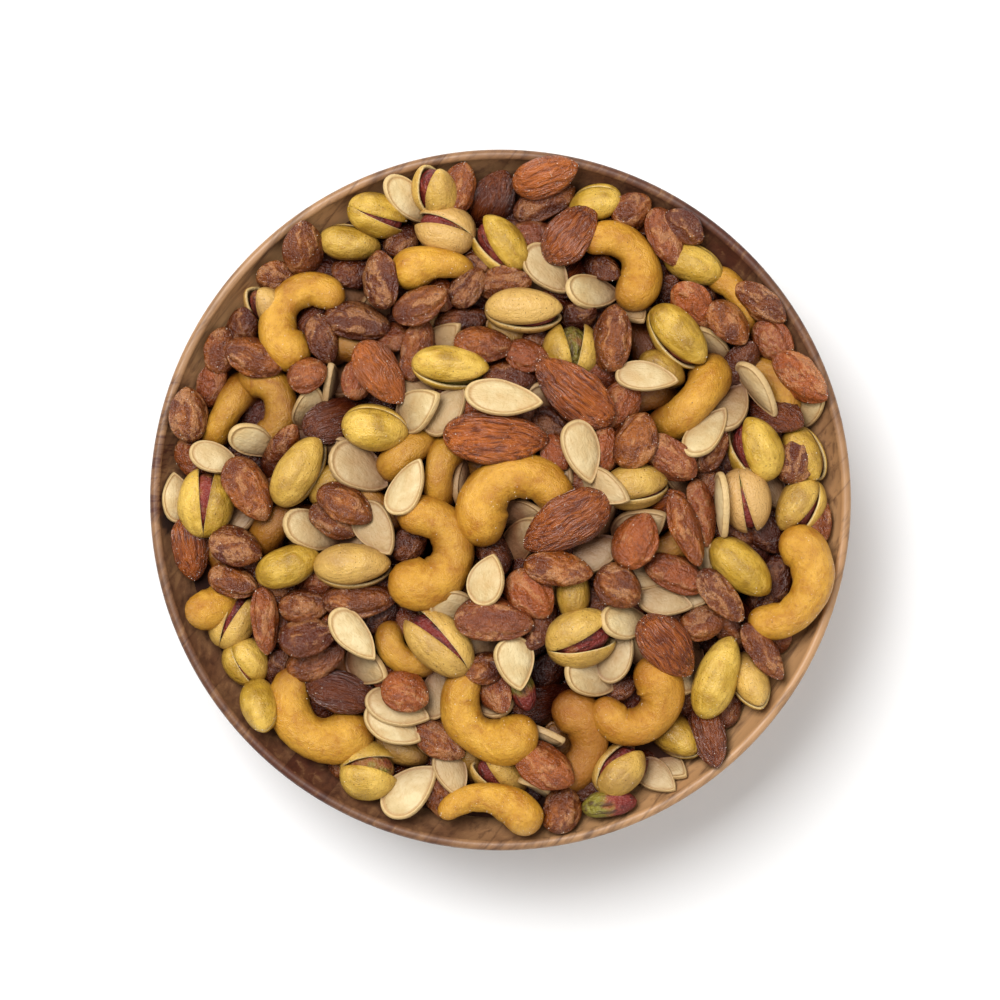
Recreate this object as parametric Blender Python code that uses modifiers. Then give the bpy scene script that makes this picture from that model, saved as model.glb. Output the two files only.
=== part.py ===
"""A small round wooden bowl heaped with trail mix: cashews, pistachios in the shell, almonds,
salted brown kernels and pumpkin seeds in the shell. Metres, +Z up, origin under the foot's middle."""

import math

import bmesh
import bpy
import numpy as np
from mathutils import Euler, Matrix, Vector

MM = 0.001
WELD = 0.01 * MM

# The bowl: a turned, laminated dish with a thin rounded lip.
RIM_RADIUS = 88.0 * MM
RIM_HEIGHT = 48.0 * MM
LIP_WIDTH = 2.6 * MM
FOOT_RADIUS = 34.0 * MM
FOOT_CHAMFER = 1.5 * MM
FLOOR_RADIUS = 20.0 * MM
FLOOR_HEIGHT = 7.0 * MM
WALL_STEPS = 6
LIP_STEPS = 4
BOWL_SEGMENTS = 48
SHARP_DEGREES = 55

# The mound that the tops of the nuts reach, and how far below it each layer starts.
MOUND_MIDDLE = 61.0 * MM
MOUND_DROP = 9.5 * MM
MOUND_REACH = 80.0 * MM
LAYER_DROP = 3.2 * MM
TOP_LAYER = 2.0
UNEVENNESS = 1.4 * MM

# The solid core under the nuts that show, and how far their undersides root in it.
CORE_BELOW_MOUND = 8.8 * MM
CORE_BELOW_EDGE = 4.4 * MM
CORE_SEGMENTS = 30
CORE_RINGS = 7
CORE_RADIUS = 80.0 * MM
GAP = 0.5 * MM
ROOT = {"cashew": 2.0 * MM, "pistachio": 2.0 * MM, "almond": 2.5 * MM, "kernel": 2.5 * MM, "seed": 5.0 * MM}

# The height map on which the nuts settle. A nut nestles as if it were a little smaller than it is.
CELL = 0.5 * MM
MAP_HALF = 100.0 * MM
NESTLE = 0.84
LEANS = (-36, -24, -12, 0, 12, 24, 36)
LEAN_COST = 0.035 * MM
SHIFTS = ((0, 0), (2, 0), (-2, 0), (0, 2), (0, -2), (2, 2), (-2, 2), (2, -2), (-2, -2))
SHIFT_COST = 0.5

# The nuts' places are read from the photograph, taken from straight above: its middle, its scale
# at the rim and the lens's distance from the rim.
PHOTO_MIDDLE = (500.5, 500.0)
PHOTO_SCALE = 0.25 * MM
PHOTO_DISTANCE = 800.0 * MM

# Thickness of each kind of nut as a share of its width.
ALMOND_THICKNESS = 0.60
KERNEL_THICKNESS = 0.64
SEED_THICKNESS = 0.27
SHELL_THICKNESS = 0.94

# A cashew is this much stouter at its stout end than in its middle, and is settled as beads.
CASHEW_STOUTER = 0.16
CASHEW_END = 0.86
CASHEW_BEADS = 9

# Low-sided shapes: how blunt a cashew's ends are and how far they reach, and an almond's taper.
CASHEW_BLUNTNESS = 0.55
CASHEW_REACH = 0.8
ALMOND_TAPER = (0.22, 0.10)

# Cashews: place, way the back faces, radius of the curl and girth in mm, curl from middle to tip
# in degrees, layer, roll (90 has the back up), and 1 or -1 for the end that is stout.
CASHEWS = (
    (296, 314, 149, 8.4, 9.8, 92, 2, 0, 1), (626, 259, 32, 8.2, 9.8, 78, 2, 0, -1),
    (513, 496, 112, 9.6, 12.0, 88, 2, 0, 1), (800, 592, -22, 11.2, 10.4, 72, 2.2, 5, 1),
    (642, 708, -48, 7.4, 11.0, 98, 2, 0, 1), (483, 722, -131, 9.2, 11.0, 80, 2, 0, 1),
    (431, 552, -8, 8.3, 12.2, 103, 2, 0, -1), (312, 722, -128, 9.8, 12.0, 78, 2, 0, 1),
    (578, 748, -5, 9.6, 10.8, 68, 1.2, 10, 1), (266, 402, 12, 7.6, 9.2, 76, 1, 0, 1),
    (407, 652, -105, 5.2, 8.6, 105, 1, 25, 1), (434, 265, 95, 9.5, 8.8, 46, 2, 60, 2.4),
    (742, 298, 25, 9.6, 6.4, 55, -0.9, 30, 1), (224, 406, -30, 8.0, 8.6, 72, 1, 80, 1),
    (692, 400, -42, 9.4, 10.2, 74, 2, 80, 1), (780, 384, 38, 7.0, 8.0, 62, 0.7, 30, -1),
    (490, 813, 80, 13.5, 8.4, 46, 1.4, 0, -2), (208, 587, -6, 8.6, 8.6, 78, 1.2, -8, -1.2),
    (415, 450, 128, 6.0, 8.6, 80, 1, 80, 1), (441, 474, 172, 5.8, 8.2, 80, 1.1, 80, -1),
    (280, 528, 120, 6.4, 8.6, 90, 0, 60, 1), (352, 354, 60, 6.4, 8.6, 90, 0, 60, 1),
    (650, 400, 100, 6.4, 8.6, 90, 0, 70, 1), (645, 355, 10, 6.4, 8.6, 90, 0, 60, 1),
)

# The other lists hold place, turn of the long axis, length and width in mm, and layer.
PISTACHIOS = (
    (372, 209, -20, 15.5, 9.8, 2), (348, 240, -8, 16, 9.8, 1), (430, 185, 100, 14, 10.5, 1),
    (445, 227, 160, 15.5, 11.5, 2), (500, 244, -48, 17, 10.8, 2), (524, 309, -3, 19.5, 10.8, 2),
    (600, 196, 10, 14, 9.5, 1), (679, 335, -50, 19, 11.5, 2), (700, 258, -25, 16.5, 10.5, 1),
    (297, 471, 57, 20, 11.5, 2), (203, 503, 87, 17.5, 12, 2), (450, 367, -8, 19.5, 10.5, 2),
    (374, 427, -8, 17, 12, 2), (573, 348, 90, 14, 12, 1), (668, 368, -30, 13, 9.5, 1),
    (637, 487, 6, 16.5, 11.5, 1.5), (757, 450, 118, 17, 12.5, 2.1), (812, 449, -62, 15.5, 9.8, 1),
    (752, 500, -78, 16.5, 11.8, 2), (804, 511, 62, 15.5, 10.8, 2), (743, 568, -42, 19.5, 12, 2),
    (286, 567, 20, 17, 10.8, 2), (351, 567, 0, 19.5, 11.5, 2), (230, 621, 65, 15.5, 10.2, 1.5),
    (239, 668, -60, 13, 11, 1), (262, 707, -75, 15.5, 10, 1), (439, 644, -45, 20.5, 11.6, 2),
    (581, 640, 17, 17.5, 12, 2), (574, 600, -90, 14, 9.5, 1), (719, 679, 70, 22, 11.6, 2),
    (749, 687, -70, 16.5, 10, 1), (680, 741, -40, 18.5, 11, 1), (620, 772, 50, 15, 11, 2),
    (368, 777, 0, 14.8, 13, 2), (400, 752, -25, 15.5, 9.5, 0), (500, 779, -35, 17, 10, 1),
    (262, 303, -50, 15.5, 10, 1), (614, 802, 8, 14, 7, 2), (523, 692, -75, 11, 6.5, 1),
)
ALMONDS = (
    (571, 232, 50, 18.5, 12, 2), (492, 193, 65, 18, 12.5, 1), (379, 372, -55, 18.5, 11, 2),
    (336, 418, 20, 20, 11.5, 1), (496, 441, -3, 26.5, 14, 2), (574, 391, 140, 24.5, 13.2, 2),
    (567, 523, 210, 24.5, 14, 2.2), (779, 412, -28, 18, 11, 1.6), (338, 698, -15, 20, 11, 1),
    (548, 708, 10, 23, 11, 1), (668, 647, -50, 19, 13, 2.4), (550, 171, 18, 17.5, 10.5, 2),
    (184, 552, -85, 17, 10, 1), (714, 741, -75, 18, 10, 2),
)
KERNELS = (
    (298, 243, 92, 15, 10, 2), (273, 273, -15, 12.5, 8, 1), (458, 182, 75, 13.5, 8.5, 2),
    (397, 232, 60, 12, 8.5, 1), (356, 262, 25, 15.5, 9.5, 1), (380, 278, 97, 15, 8.5, 2),
    (420, 303, 27, 15, 9, 2), (463, 285, 50, 12, 8, 1), (356, 320, -12, 17, 10, 1),
    (460, 318, 10, 14, 8, 0), (505, 286, 10, 14, 8.5, 1), (545, 198, 25, 17, 8.5, 1),
    (533, 232, 0, 13, 8, 1), (633, 208, 30, 11, 9.5, 2), (640, 222, 30, 9, 7, 0),
    (607, 264, -35, 13, 7, 1), (575, 318, 30, 12, 8, 1), (614, 337, 85, 17, 9.5, 2),
    (668, 236, -65, 16.5, 9, 2), (688, 227, -35, 12, 8.2, 0.6), (766, 302, -35, 15.5, 7.5, 2.4),
    (780, 336, -50, 13, 9, 1), (696, 306, -55, 16, 9, 2), (730, 322, -50, 13.5, 9, 2.3),
    (214, 345, 80, 12, 8, 1), (239, 327, 80, 12, 8, 1), (257, 357, -22, 15.5, 9.5, 2),
    (214, 386, 75, 13, 8, 1), (183, 410, 95, 14, 9.5, 2), (306, 374, 20, 10.5, 9, 2),
    (318, 337, -75, 13, 8, 1), (340, 340, 70, 12, 8, 0), (283, 456, 62, 19.5, 7.5, 2),
    (247, 489, -60, 18, 10.5, 2), (191, 457, -70, 12, 9, 1), (222, 437, 20, 10, 8, 0),
    (357, 376, 70, 12, 8, 1), (417, 348, 78, 16.5, 8.5, 1), (484, 343, -3, 15.5, 9, 2),
    (390, 335, -20, 12.5, 8, 1), (524, 350, -15, 12, 8, 1), (514, 372, 0, 14.5, 9, 1),
    (620, 402, 60, 14.5, 10.5, 1), (636, 440, 65, 15, 10.5, 2), (606, 448, 85, 12, 8, 1),
    (557, 452, -60, 10, 7.5, 1), (553, 424, -40, 11, 8.5, 0), (672, 458, -35, 15.5, 9.5, 2),
    (743, 362, 60, 14, 9, 1), (806, 373, -42, 17.5, 9.5, 2), (711, 447, 60, 13, 9, 1),
    (797, 460, 75, 12.5, 9.5, 2), (822, 518, 80, 13.5, 8.5, 1), (708, 482, 80, 12, 8, 0),
    (704, 513, -80, 17.5, 7, 1), (687, 530, -70, 19.5, 7.5, 2), (637, 541, 65, 15, 10.5, 2),
    (678, 575, -25, 17, 9, 1), (727, 592, -50, 16.5, 8, 2), (774, 585, 65, 17, 10, 0),
    (620, 587, -40, 13, 11, 2), (704, 623, 15, 12.5, 9.5, 1), (730, 636, -65, 12, 7, 1),
    (765, 652, -55, 17, 7, 2), (616, 690, 10, 12, 8, 0), (650, 768, 60, 12.5, 8, 0),
    (494, 621, -5, 20, 11, 2.1), (405, 693, -25, 12.5, 10, 2), (482, 673, 20, 12, 8, 1),
    (495, 695, -60, 12, 8, 1), (552, 680, 70, 13, 10, 1), (545, 768, -30, 17, 10.5, 2),
    (443, 742, -35, 15, 8.5, 1.2), (566, 815, 80, 13, 9.5, 2), (559, 569, -8, 17.5, 8.5, 2),
    (530, 596, -50, 14.5, 11.5, 1.6), (492, 545, -70, 18, 9, 1), (420, 512, 20, 15, 8.5, 1),
    (414, 548, 40, 12, 8, 0), (344, 505, -30, 15.5, 9, 2), (332, 521, -30, 13.5, 8.5, 1),
    (234, 547, -20, 14, 9.5, 2), (231, 582, -20, 13, 8.5, 2), (263, 622, -85, 17, 7, 2),
    (303, 606, 5, 13.5, 8.5, 1), (358, 597, 3, 19, 9, 1), (306, 638, 10, 14.5, 9.5, 2),
    (314, 665, 25, 16, 9.5, 1), (382, 625, 50, 12.5, 8.5, 0), (335, 770, -70, 11, 7, -0.6),
    (540, 626, 65, 15, 8, 1), (772, 528, -60, 15, 10, 0),
)
SEEDS = (
    (407, 202, -48, 16, 8.5, 2), (352, 281, 30, 16, 9.5, 1), (368, 300, 80, 14, 8.5, 0),
    (547, 268, -50, 15.5, 10, 1), (594, 290, -3, 17, 9.3, 2), (631, 301, -50, 14, 8.5, 1),
    (645, 335, -70, 16, 8.5, 0), (440, 341, 45, 16, 9, 1), (466, 325, 20, 14, 8, 0),
    (341, 372, 80, 14, 8.5, 0), (307, 410, 75, 14, 8.5, 1), (287, 421, -42, 16, 9, 1),
    (252, 445, -25, 15.5, 8.5, 2), (214, 458, -20, 14, 8, 2), (178, 497, 95, 13, 8, 1),
    (413, 408, 35, 15.5, 10.5, 2), (445, 409, 50, 15, 9.5, 1), (504, 402, -8, 19.5, 9.5, 2),
    (548, 401, -40, 14, 8.5, 0), (648, 376, -6, 16, 8, 2), (583, 451, -75, 16.5, 10, 2),
    (605, 487, -30, 15.5, 8.5, 2), (553, 470, -50, 14, 8.5, 0), (357, 468, -35, 17.5, 12, 1),
    (406, 487, 62, 15.5, 8.8, 2), (685, 478, -45, 14.5, 8.5, 0), (814, 404, 40, 13, 8, 1),
    (728, 403, 55, 15.5, 10.5, 1), (704, 428, 50, 17, 8.5, 2), (779, 487, -60, 14, 8.5, 0),
    (641, 528, 25, 16, 10.5, 1), (649, 577, 0, 13, 8, 0), (667, 602, -10, 14.5, 8, 1),
    (695, 601, 0, 14, 8, 0), (628, 623, -5, 16, 9.3, 2.1), (696, 672, 65, 17.5, 9.5, 1.9),
    (618, 659, 60, 14, 9, 1), (645, 655, -70, 14, 8, 1), (673, 772, -30, 14, 8.2, 1),
    (658, 783, -35, 12.5, 8, 1.2), (586, 676, -30, 15, 10, 1), (515, 664, -80, 14, 10.5, 2),
    (485, 652, 10, 14, 8.5, 0), (397, 710, -20, 17, 9.5, 1.2), (396, 728, -30, 16, 9.5, 1),
    (436, 695, 80, 14, 8.5, 0), (455, 779, -70, 14, 8.5, 1), (432, 748, -40, 13, 8, 0),
    (409, 792, 42, 17.5, 11, 1.5), (487, 580, 75, 13.5, 9.8, 2), (453, 605, -15, 15.5, 9, 1),
    (412, 598, -30, 15, 8.5, 0), (517, 543, 55, 16, 9, 1), (525, 510, 10, 14, 8.5, 0),
    (598, 553, 20, 15, 10, 0), (312, 532, -25, 17.5, 10, 1), (374, 529, -60, 15.5, 10, 1),
    (353, 636, -50, 16, 8.8, 2), (362, 673, -25, 14.5, 9.5, 1),
)
EDGEWISE_SEEDS = (
    (327, 386, 82, 15, 9, 1), (645, 304, -10, 13, 8.5, 0), (459, 482, 90, 13, 8.5, 0),
    (760, 388, -55, 16.5, 9, 2), (815, 381, -70, 10, 7, 1), (723, 505, -86, 16.5, 9, 2),
    (543, 740, -10, 14, 9, 1), (542, 795, -35, 12, 8, 1), (609, 525, 80, 13, 8.5, 0),
)
EDGEWISE_LEAN = (64, 78)

# Sides round and rings along each low-sided nut.
CASHEW_SIDES = (6, 6)
SHELL_SIDES = (6, 4)
ALMOND_SIDES = (6, 4)
KERNEL_SIDES = (5, 4)
SEED_SIDES = (6, 3)
FULL_SIZE = 1.06
DEEPEST_SHOWN = 7.8 * MM

# A tetrahedron is this part of the box on its three edges.
TETRAHEDRON = 6

WOOD_COLOUR = (0.30, 0.17, 0.10, 1.0)
WOOD_ROUGHNESS = 0.45
NUT_COLOUR = (0.42, 0.20, 0.07, 1.0)
NUT_ROUGHNESS = 0.55


def clear_scene():
    for thing in list(bpy.data.objects):
        bpy.data.objects.remove(thing, do_unlink=True)


def new_collection(name):
    collection = bpy.data.collections.new(name)
    bpy.context.scene.collection.children.link(collection)
    return collection


def make_material(name, colour, roughness):
    material = bpy.data.materials.new(name)
    material.use_nodes = True
    shader = material.node_tree.nodes["Principled BSDF"]
    shader.inputs["Base Color"].default_value = colour
    shader.inputs["Roughness"].default_value = roughness
    shader.inputs["Metallic"].default_value = 0.0
    return material


def wall_height(radius, start_radius, end_radius, start_height):
    """Height of a wall that starts level and steepens, as a parabola, up to the lip."""
    share = max(0.0, radius - start_radius) / (end_radius - start_radius)
    return start_height + (RIM_HEIGHT - LIP_WIDTH / 2 - start_height) * share**2


def inner_height(radius):
    return wall_height(radius, FLOOR_RADIUS, RIM_RADIUS - LIP_WIDTH, FLOOR_HEIGHT)


def outer_height(radius):
    return wall_height(radius, FOOT_RADIUS, RIM_RADIUS, FOOT_CHAMFER)


def inner_points():
    """The inside, from the middle of the floor up to the lip."""
    reach = RIM_RADIUS - LIP_WIDTH - FLOOR_RADIUS
    radii = [FLOOR_RADIUS + reach * step / WALL_STEPS for step in range(WALL_STEPS + 1)]
    return [(0.0, FLOOR_HEIGHT)] + [(radius, inner_height(radius)) for radius in radii]


def lip_points():
    """The round lip, from its inner side over the top to its outer side."""
    half = LIP_WIDTH / 2
    points = []
    for step in range(1, LIP_STEPS):
        angle = math.pi * (1 - step / LIP_STEPS)
        radius = RIM_RADIUS - half + half * math.cos(angle)
        points.append((radius, RIM_HEIGHT - half + half * math.sin(angle)))
    return points


def outer_points():
    """The outside, from the lip down to the middle of the flat foot."""
    reach = RIM_RADIUS - FOOT_RADIUS
    radii = [RIM_RADIUS - reach * step / WALL_STEPS for step in range(WALL_STEPS + 1)]
    wall = [(radius, outer_height(radius)) for radius in radii]
    return wall + [(FOOT_RADIUS - FOOT_CHAMFER, 0.0), (0.0, 0.0)]


def turned_object(name, profile, steps, collection, material):
    """An object turned on +Z from a profile of radius and height."""
    mesh = bpy.data.meshes.new(name)
    mesh.from_pydata([(radius, 0.0, height) for radius, height in profile],
                     [(i, i + 1) for i in range(len(profile) - 1)], [])
    thing = bpy.data.objects.new(name, mesh)
    collection.objects.link(thing)
    screw = thing.modifiers.new("Turn", "SCREW")
    screw.steps = steps
    screw.render_steps = steps
    screw.use_merge_vertices = True
    screw.merge_threshold = WELD
    mesh.materials.append(material)
    return thing


def apply_modifiers(thing):
    """Replaces the object's mesh by the one that its modifiers give."""
    depsgraph = bpy.context.evaluated_depsgraph_get()
    result = bpy.data.meshes.new_from_object(thing.evaluated_get(depsgraph))
    old = thing.data
    thing.modifiers.clear()
    thing.data = result
    bpy.data.meshes.remove(old)


def shade_round(thing, sharp_degrees):
    thing.data.shade_smooth()
    thing.data.set_sharp_from_angle(angle=math.radians(sharp_degrees))


def make_bowl(collection, material):
    profile = inner_points() + lip_points() + outer_points()
    bowl = turned_object("bowl", profile, BOWL_SEGMENTS, collection, material)
    apply_modifiers(bowl)
    shade_round(bowl, SHARP_DEGREES)
    return bowl


def cashew_half(share, girth, stout_end):
    """Half a cashew's girth at a share of its length, from -1 to 1."""
    return 0.5 * girth * (1 - CASHEW_STOUTER * stout_end * share)


def cashew_middle(curl_radius, curl):
    """How far the middle of a cashew's outline lies from the middle of its curl."""
    return curl_radius * (1 + math.cos(math.radians(curl))) / 2


def cashew_beads(curl_radius, girth, curl, stout_end):
    """A cashew as a chain of balls: their middles and radii, with the back to +Y."""
    middles = []
    radii = []
    for share in np.linspace(-1, 1, CASHEW_BEADS):
        angle = math.radians(90 - curl * share)
        rise = curl_radius * math.sin(angle) - cashew_middle(curl_radius, curl)
        middles.append((curl_radius * math.cos(angle), rise, 0.0))
        end = CASHEW_END if abs(share) == 1 else 1.0
        radii.append([cashew_half(share, girth, stout_end) * end] * 3)
    return np.array(middles), np.array(radii)


def nut(kind, place, turn, middles, halves, layer, rolls):
    """One nut to settle: its balls or ellipsoids are in its own frame, long axis X, flat side Z."""
    x = (place[0] - PHOTO_MIDDLE[0]) * PHOTO_SCALE
    y = (PHOTO_MIDDLE[1] - place[1]) * PHOTO_SCALE
    nearness = 1 - (mound_height(math.hypot(x, y)) - RIM_HEIGHT) / PHOTO_DISTANCE
    x *= nearness
    y *= nearness
    return {"kind": kind, "x": x, "y": y, "turn": turn, "middles": middles, "halves": halves,
            "layer": layer, "rolls": rolls}


def oval_nuts(kind, rows, thickness, rolls):
    """Nuts that are one ellipsoid each."""
    found = []
    for x, y, turn, length, width, layer in rows:
        halves = np.array([[length, width, width * thickness]]) * MM / 2
        found.append(nut(kind, (x, y), turn, np.zeros((1, 3)), halves, layer, rolls))
    return found


def all_nuts():
    found = []
    for x, y, back, curl_radius, girth, curl, layer, roll, stout_end in CASHEWS:
        shape = (curl_radius * MM, girth * MM, curl, stout_end)
        middles, halves = cashew_beads(*shape)
        row = nut("cashew", (x, y), back - 90, middles, halves, layer, (roll - 10, roll, roll + 10))
        row["shape"] = shape
        found.append(row)
    found += oval_nuts("pistachio", PISTACHIOS, SHELL_THICKNESS, (0,))
    found += oval_nuts("almond", ALMONDS, ALMOND_THICKNESS, (-20, 0, 20))
    found += oval_nuts("kernel", KERNELS, KERNEL_THICKNESS, (-20, 0, 20))
    found += oval_nuts("seed", SEEDS, SEED_THICKNESS, (-22, -11, 0, 11, 22))
    found += oval_nuts("seed", EDGEWISE_SEEDS, SEED_THICKNESS, EDGEWISE_LEAN)
    return sorted(found, key=lambda row: -row["layer"])


def mound_height(radius):
    """How high the tops of the nuts reach at a distance from the middle."""
    return MOUND_MIDDLE - MOUND_DROP * (radius / MOUND_REACH) ** 2


def height_map():
    """The map's grid lines, and the height of the empty bowl over them with room for the gap."""
    count = int(round(2 * MAP_HALF / CELL)) + 1
    line = np.linspace(-MAP_HALF, MAP_HALF, count)
    x, y = np.meshgrid(line, line, indexing="ij")
    radius = np.hypot(x, y)
    share = np.clip(radius - FLOOR_RADIUS, 0, None) / (RIM_RADIUS - LIP_WIDTH - FLOOR_RADIUS)
    wall = FLOOR_HEIGHT + (RIM_HEIGHT - LIP_WIDTH / 2 - FLOOR_HEIGHT) * share**2
    return line, np.minimum(wall, RIM_HEIGHT) + 2 * GAP


def lowest_and_highest(x, y, middles, halves, rotation):
    """Lower and upper height of a nut over a patch of the map, in the nut's own heights."""
    low = np.full(x.shape, np.inf)
    high = np.full(x.shape, -np.inf)
    for middle, half in zip(middles @ rotation.T, halves):
        form = rotation @ np.diag(1 / half**2) @ rotation.T
        dx = x - middle[0]
        dy = y - middle[1]
        cross = form[0, 2] * dx + form[1, 2] * dy
        rest = form[0, 0] * dx**2 + 2 * form[0, 1] * dx * dy + form[1, 1] * dy**2 - 1
        inside = cross**2 - form[2, 2] * rest
        root = np.sqrt(np.clip(inside, 0, None))
        hit = inside > 0
        low = np.where(hit, np.minimum(low, middle[2] + (-cross - root) / form[2, 2]), low)
        high = np.where(hit, np.maximum(high, middle[2] + (-cross + root) / form[2, 2]), high)
    return low, high


def cells_near(line, value, reach):
    return np.flatnonzero(np.abs(line - value) <= reach + CELL)


def ways_to_lie(row, x, y):
    """Each lean and roll that a nut may take: its rotation, heights and cost."""
    for roll in row["rolls"]:
        for lean in LEANS:
            angles = (math.radians(roll), math.radians(lean), math.radians(row["turn"]))
            turn = np.array(Euler(angles, "XYZ").to_matrix())
            low, high = lowest_and_highest(x, y, row["middles"], row["halves"], turn)
            nested = lowest_and_highest(x, y, row["middles"] * NESTLE, row["halves"] * NESTLE, turn)
            yield turn, low, high, nested, LEAN_COST * abs(lean)


def settle_nut(row, line, floor, ceiling, depth):
    """Finds the lean and the small shift that bring one nut's top nearest to the mound."""
    reach = float(np.max(np.linalg.norm(row["middles"], axis=1) + row["halves"].max(axis=1)))
    across = cells_near(line, row["x"], reach)
    along = cells_near(line, row["y"], reach)
    x, y = np.meshgrid(line[across] - row["x"], line[along] - row["y"], indexing="ij")
    top = mound_height(math.hypot(row["x"], row["y"])) - depth
    best = None
    for turn, low, high, nested, lean_cost in ways_to_lie(row, x, y):
        wanted = top - float(high.max())
        for shift in SHIFTS:
            patch = np.ix_(across + shift[0], along + shift[1])
            least = float(np.max(floor[patch] - low))
            most = float(np.min(ceiling[patch] - nested[1]))
            height = max(min(wanted, most), least)
            cost = abs(wanted - height) + lean_cost + 2 * max(0.0, least - most)
            cost += SHIFT_COST * CELL * math.hypot(*shift)
            if best is None or cost < best[0]:
                best = (cost, height, turn, nested[0], patch, shift)
    cost, row["height"], row["rotation"], underside, patch, shift = best
    row["x"] += shift[0] * CELL
    row["y"] += shift[1] * CELL
    ceiling[patch] = np.minimum(ceiling[patch], row["height"] + underside)


def settle(nuts):
    """Gives each nut its height and lean, from the top layer down.

    A nut's top reaches the mound, less the depth of its layer, unless the nuts over it hold it
    lower. It stays above the bowl's wall.
    """
    line, floor = height_map()
    ceiling = np.full(floor.shape, np.inf)
    chance = np.random.default_rng(7)
    for row in nuts:
        depth = (TOP_LAYER - row["layer"]) * LAYER_DROP + chance.uniform(0, UNEVENNESS)
        settle_nut(row, line, floor, ceiling, depth)


def core_depth(radius):
    """How far the core lies under the mound: less near the wall, where the nuts pack the groove."""
    return CORE_BELOW_MOUND + (CORE_BELOW_EDGE - CORE_BELOW_MOUND) * (radius / CORE_RADIUS) ** 4


def core_profile():
    """The core's section: over its top from the middle to the wall, then down along the wall."""
    top = []
    for ring in range(CORE_RINGS + 1):
        radius = CORE_RADIUS * ring / CORE_RINGS
        top.append((radius, mound_height(radius) - core_depth(radius)))
    wall = []
    for radius, height in reversed(inner_points()):
        if radius <= CORE_RADIUS:
            wall.append((radius, height + 2 * GAP))
    edge = (CORE_RADIUS, inner_height(CORE_RADIUS) + 2 * GAP)
    return top + [edge] + wall


def make_core(collection, material):
    """The hidden fill, a turned lens that follows the mound some way below it."""
    core = turned_object("nut_mix", core_profile(), CORE_SEGMENTS, collection, material)
    apply_modifiers(core)
    return core


def bend_cashew(point, shape):
    """Where a point of a unit ball with its poles on X goes on a cashew."""
    curl_radius, girth, curl, stout_end = shape
    share = math.copysign(1 - math.acos(min(1, abs(point.x))) / (math.pi / 2), point.x)
    angle = math.radians(90 - curl * share)
    across = math.hypot(point.y, point.z)
    half = cashew_half(share, girth, stout_end)
    plump = half * across**CASHEW_BLUNTNESS * FULL_SIZE
    beyond = CASHEW_REACH * half * (1 - across) * math.copysign(1, share)
    side = math.atan2(point.z, point.y)
    radius = curl_radius + plump * math.cos(side)
    x = radius * math.cos(angle) + beyond * math.sin(angle)
    y = radius * math.sin(angle) - beyond * math.cos(angle) - cashew_middle(curl_radius, curl)
    return Vector((x, y, plump * math.sin(side)))


def taper_almond(point):
    """Narrows one end of a unit ball towards an almond's point."""
    narrow = 1 - ALMOND_TAPER[0] * point.x - ALMOND_TAPER[1] * point.x**2
    return Vector((point.x, point.y * narrow, point.z * narrow))


def root_nut(work, row):
    """Draws a nut's underside down into the core, except where the nut lies over the lip."""
    if max(math.hypot(vertex.co.x, vertex.co.y) for vertex in work.verts) > CORE_RADIUS:
        return
    for vertex in work.verts:
        if vertex.co.z < row["height"]:
            floor = inner_height(math.hypot(vertex.co.x, vertex.co.y)) + 2 * GAP
            vertex.co.z = max(vertex.co.z - ROOT[row["kind"]], min(vertex.co.z, floor))


def nut_mesh(row):
    """A closed low-sided mesh of one settled nut."""
    sides = {"cashew": CASHEW_SIDES, "pistachio": SHELL_SIDES, "almond": ALMOND_SIDES,
             "kernel": KERNEL_SIDES, "seed": SEED_SIDES}[row["kind"]]
    work = bmesh.new()
    bmesh.ops.create_uvsphere(work, u_segments=sides[0], v_segments=sides[1], radius=1.0,
                              matrix=Matrix.Rotation(math.pi / 2, 4, "Y"))
    half = row["halves"][0]
    for vertex in work.verts:
        if row["kind"] == "cashew":
            vertex.co = bend_cashew(vertex.co, row["shape"])
        else:
            point = taper_almond(vertex.co) if row["kind"] == "almond" else vertex.co
            vertex.co = Vector([point[axis] * half[axis] * FULL_SIZE for axis in range(3)])
    place = Matrix.Translation((row["x"], row["y"], row["height"])) @ Matrix(row["rotation"]).to_4x4()
    bmesh.ops.transform(work, matrix=place, verts=work.verts)
    root_nut(work, row)
    bmesh.ops.recalc_face_normals(work, faces=work.faces)
    bmesh.ops.triangulate(work, faces=work.faces)
    mesh = bpy.data.meshes.new(row["kind"])
    work.to_mesh(mesh)
    work.free()
    return mesh


def shell_volumes(work):
    """The mesh's separate closed skins, each with its signed volume."""
    left = set(work.faces)
    shells = []
    while left:
        stack = [left.pop()]
        faces = []
        while stack:
            face = stack.pop()
            faces.append(face)
            for edge in face.edges:
                for other in edge.link_faces:
                    if other in left:
                        left.remove(other)
                        stack.append(other)
        volume = 0.0
        for face in faces:
            corners = [vertex.co for vertex in face.verts]
            for i in range(1, len(corners) - 1):
                volume += corners[0].dot(corners[i].cross(corners[i + 1])) / TETRAHEDRON
        shells.append((volume, faces))
    return shells


def keep_outer_skin(thing):
    """Fills sealed hollows and drops loose scraps by keeping the largest closed skin alone."""
    work = bmesh.new()
    work.from_mesh(thing.data)
    shells = sorted(shell_volumes(work), key=lambda shell: shell[0])
    for _, faces in shells[:-1]:
        bmesh.ops.delete(work, geom=faces, context="FACES")
    bmesh.ops.triangulate(work, faces=work.faces)
    work.to_mesh(thing.data)
    work.free()


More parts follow.
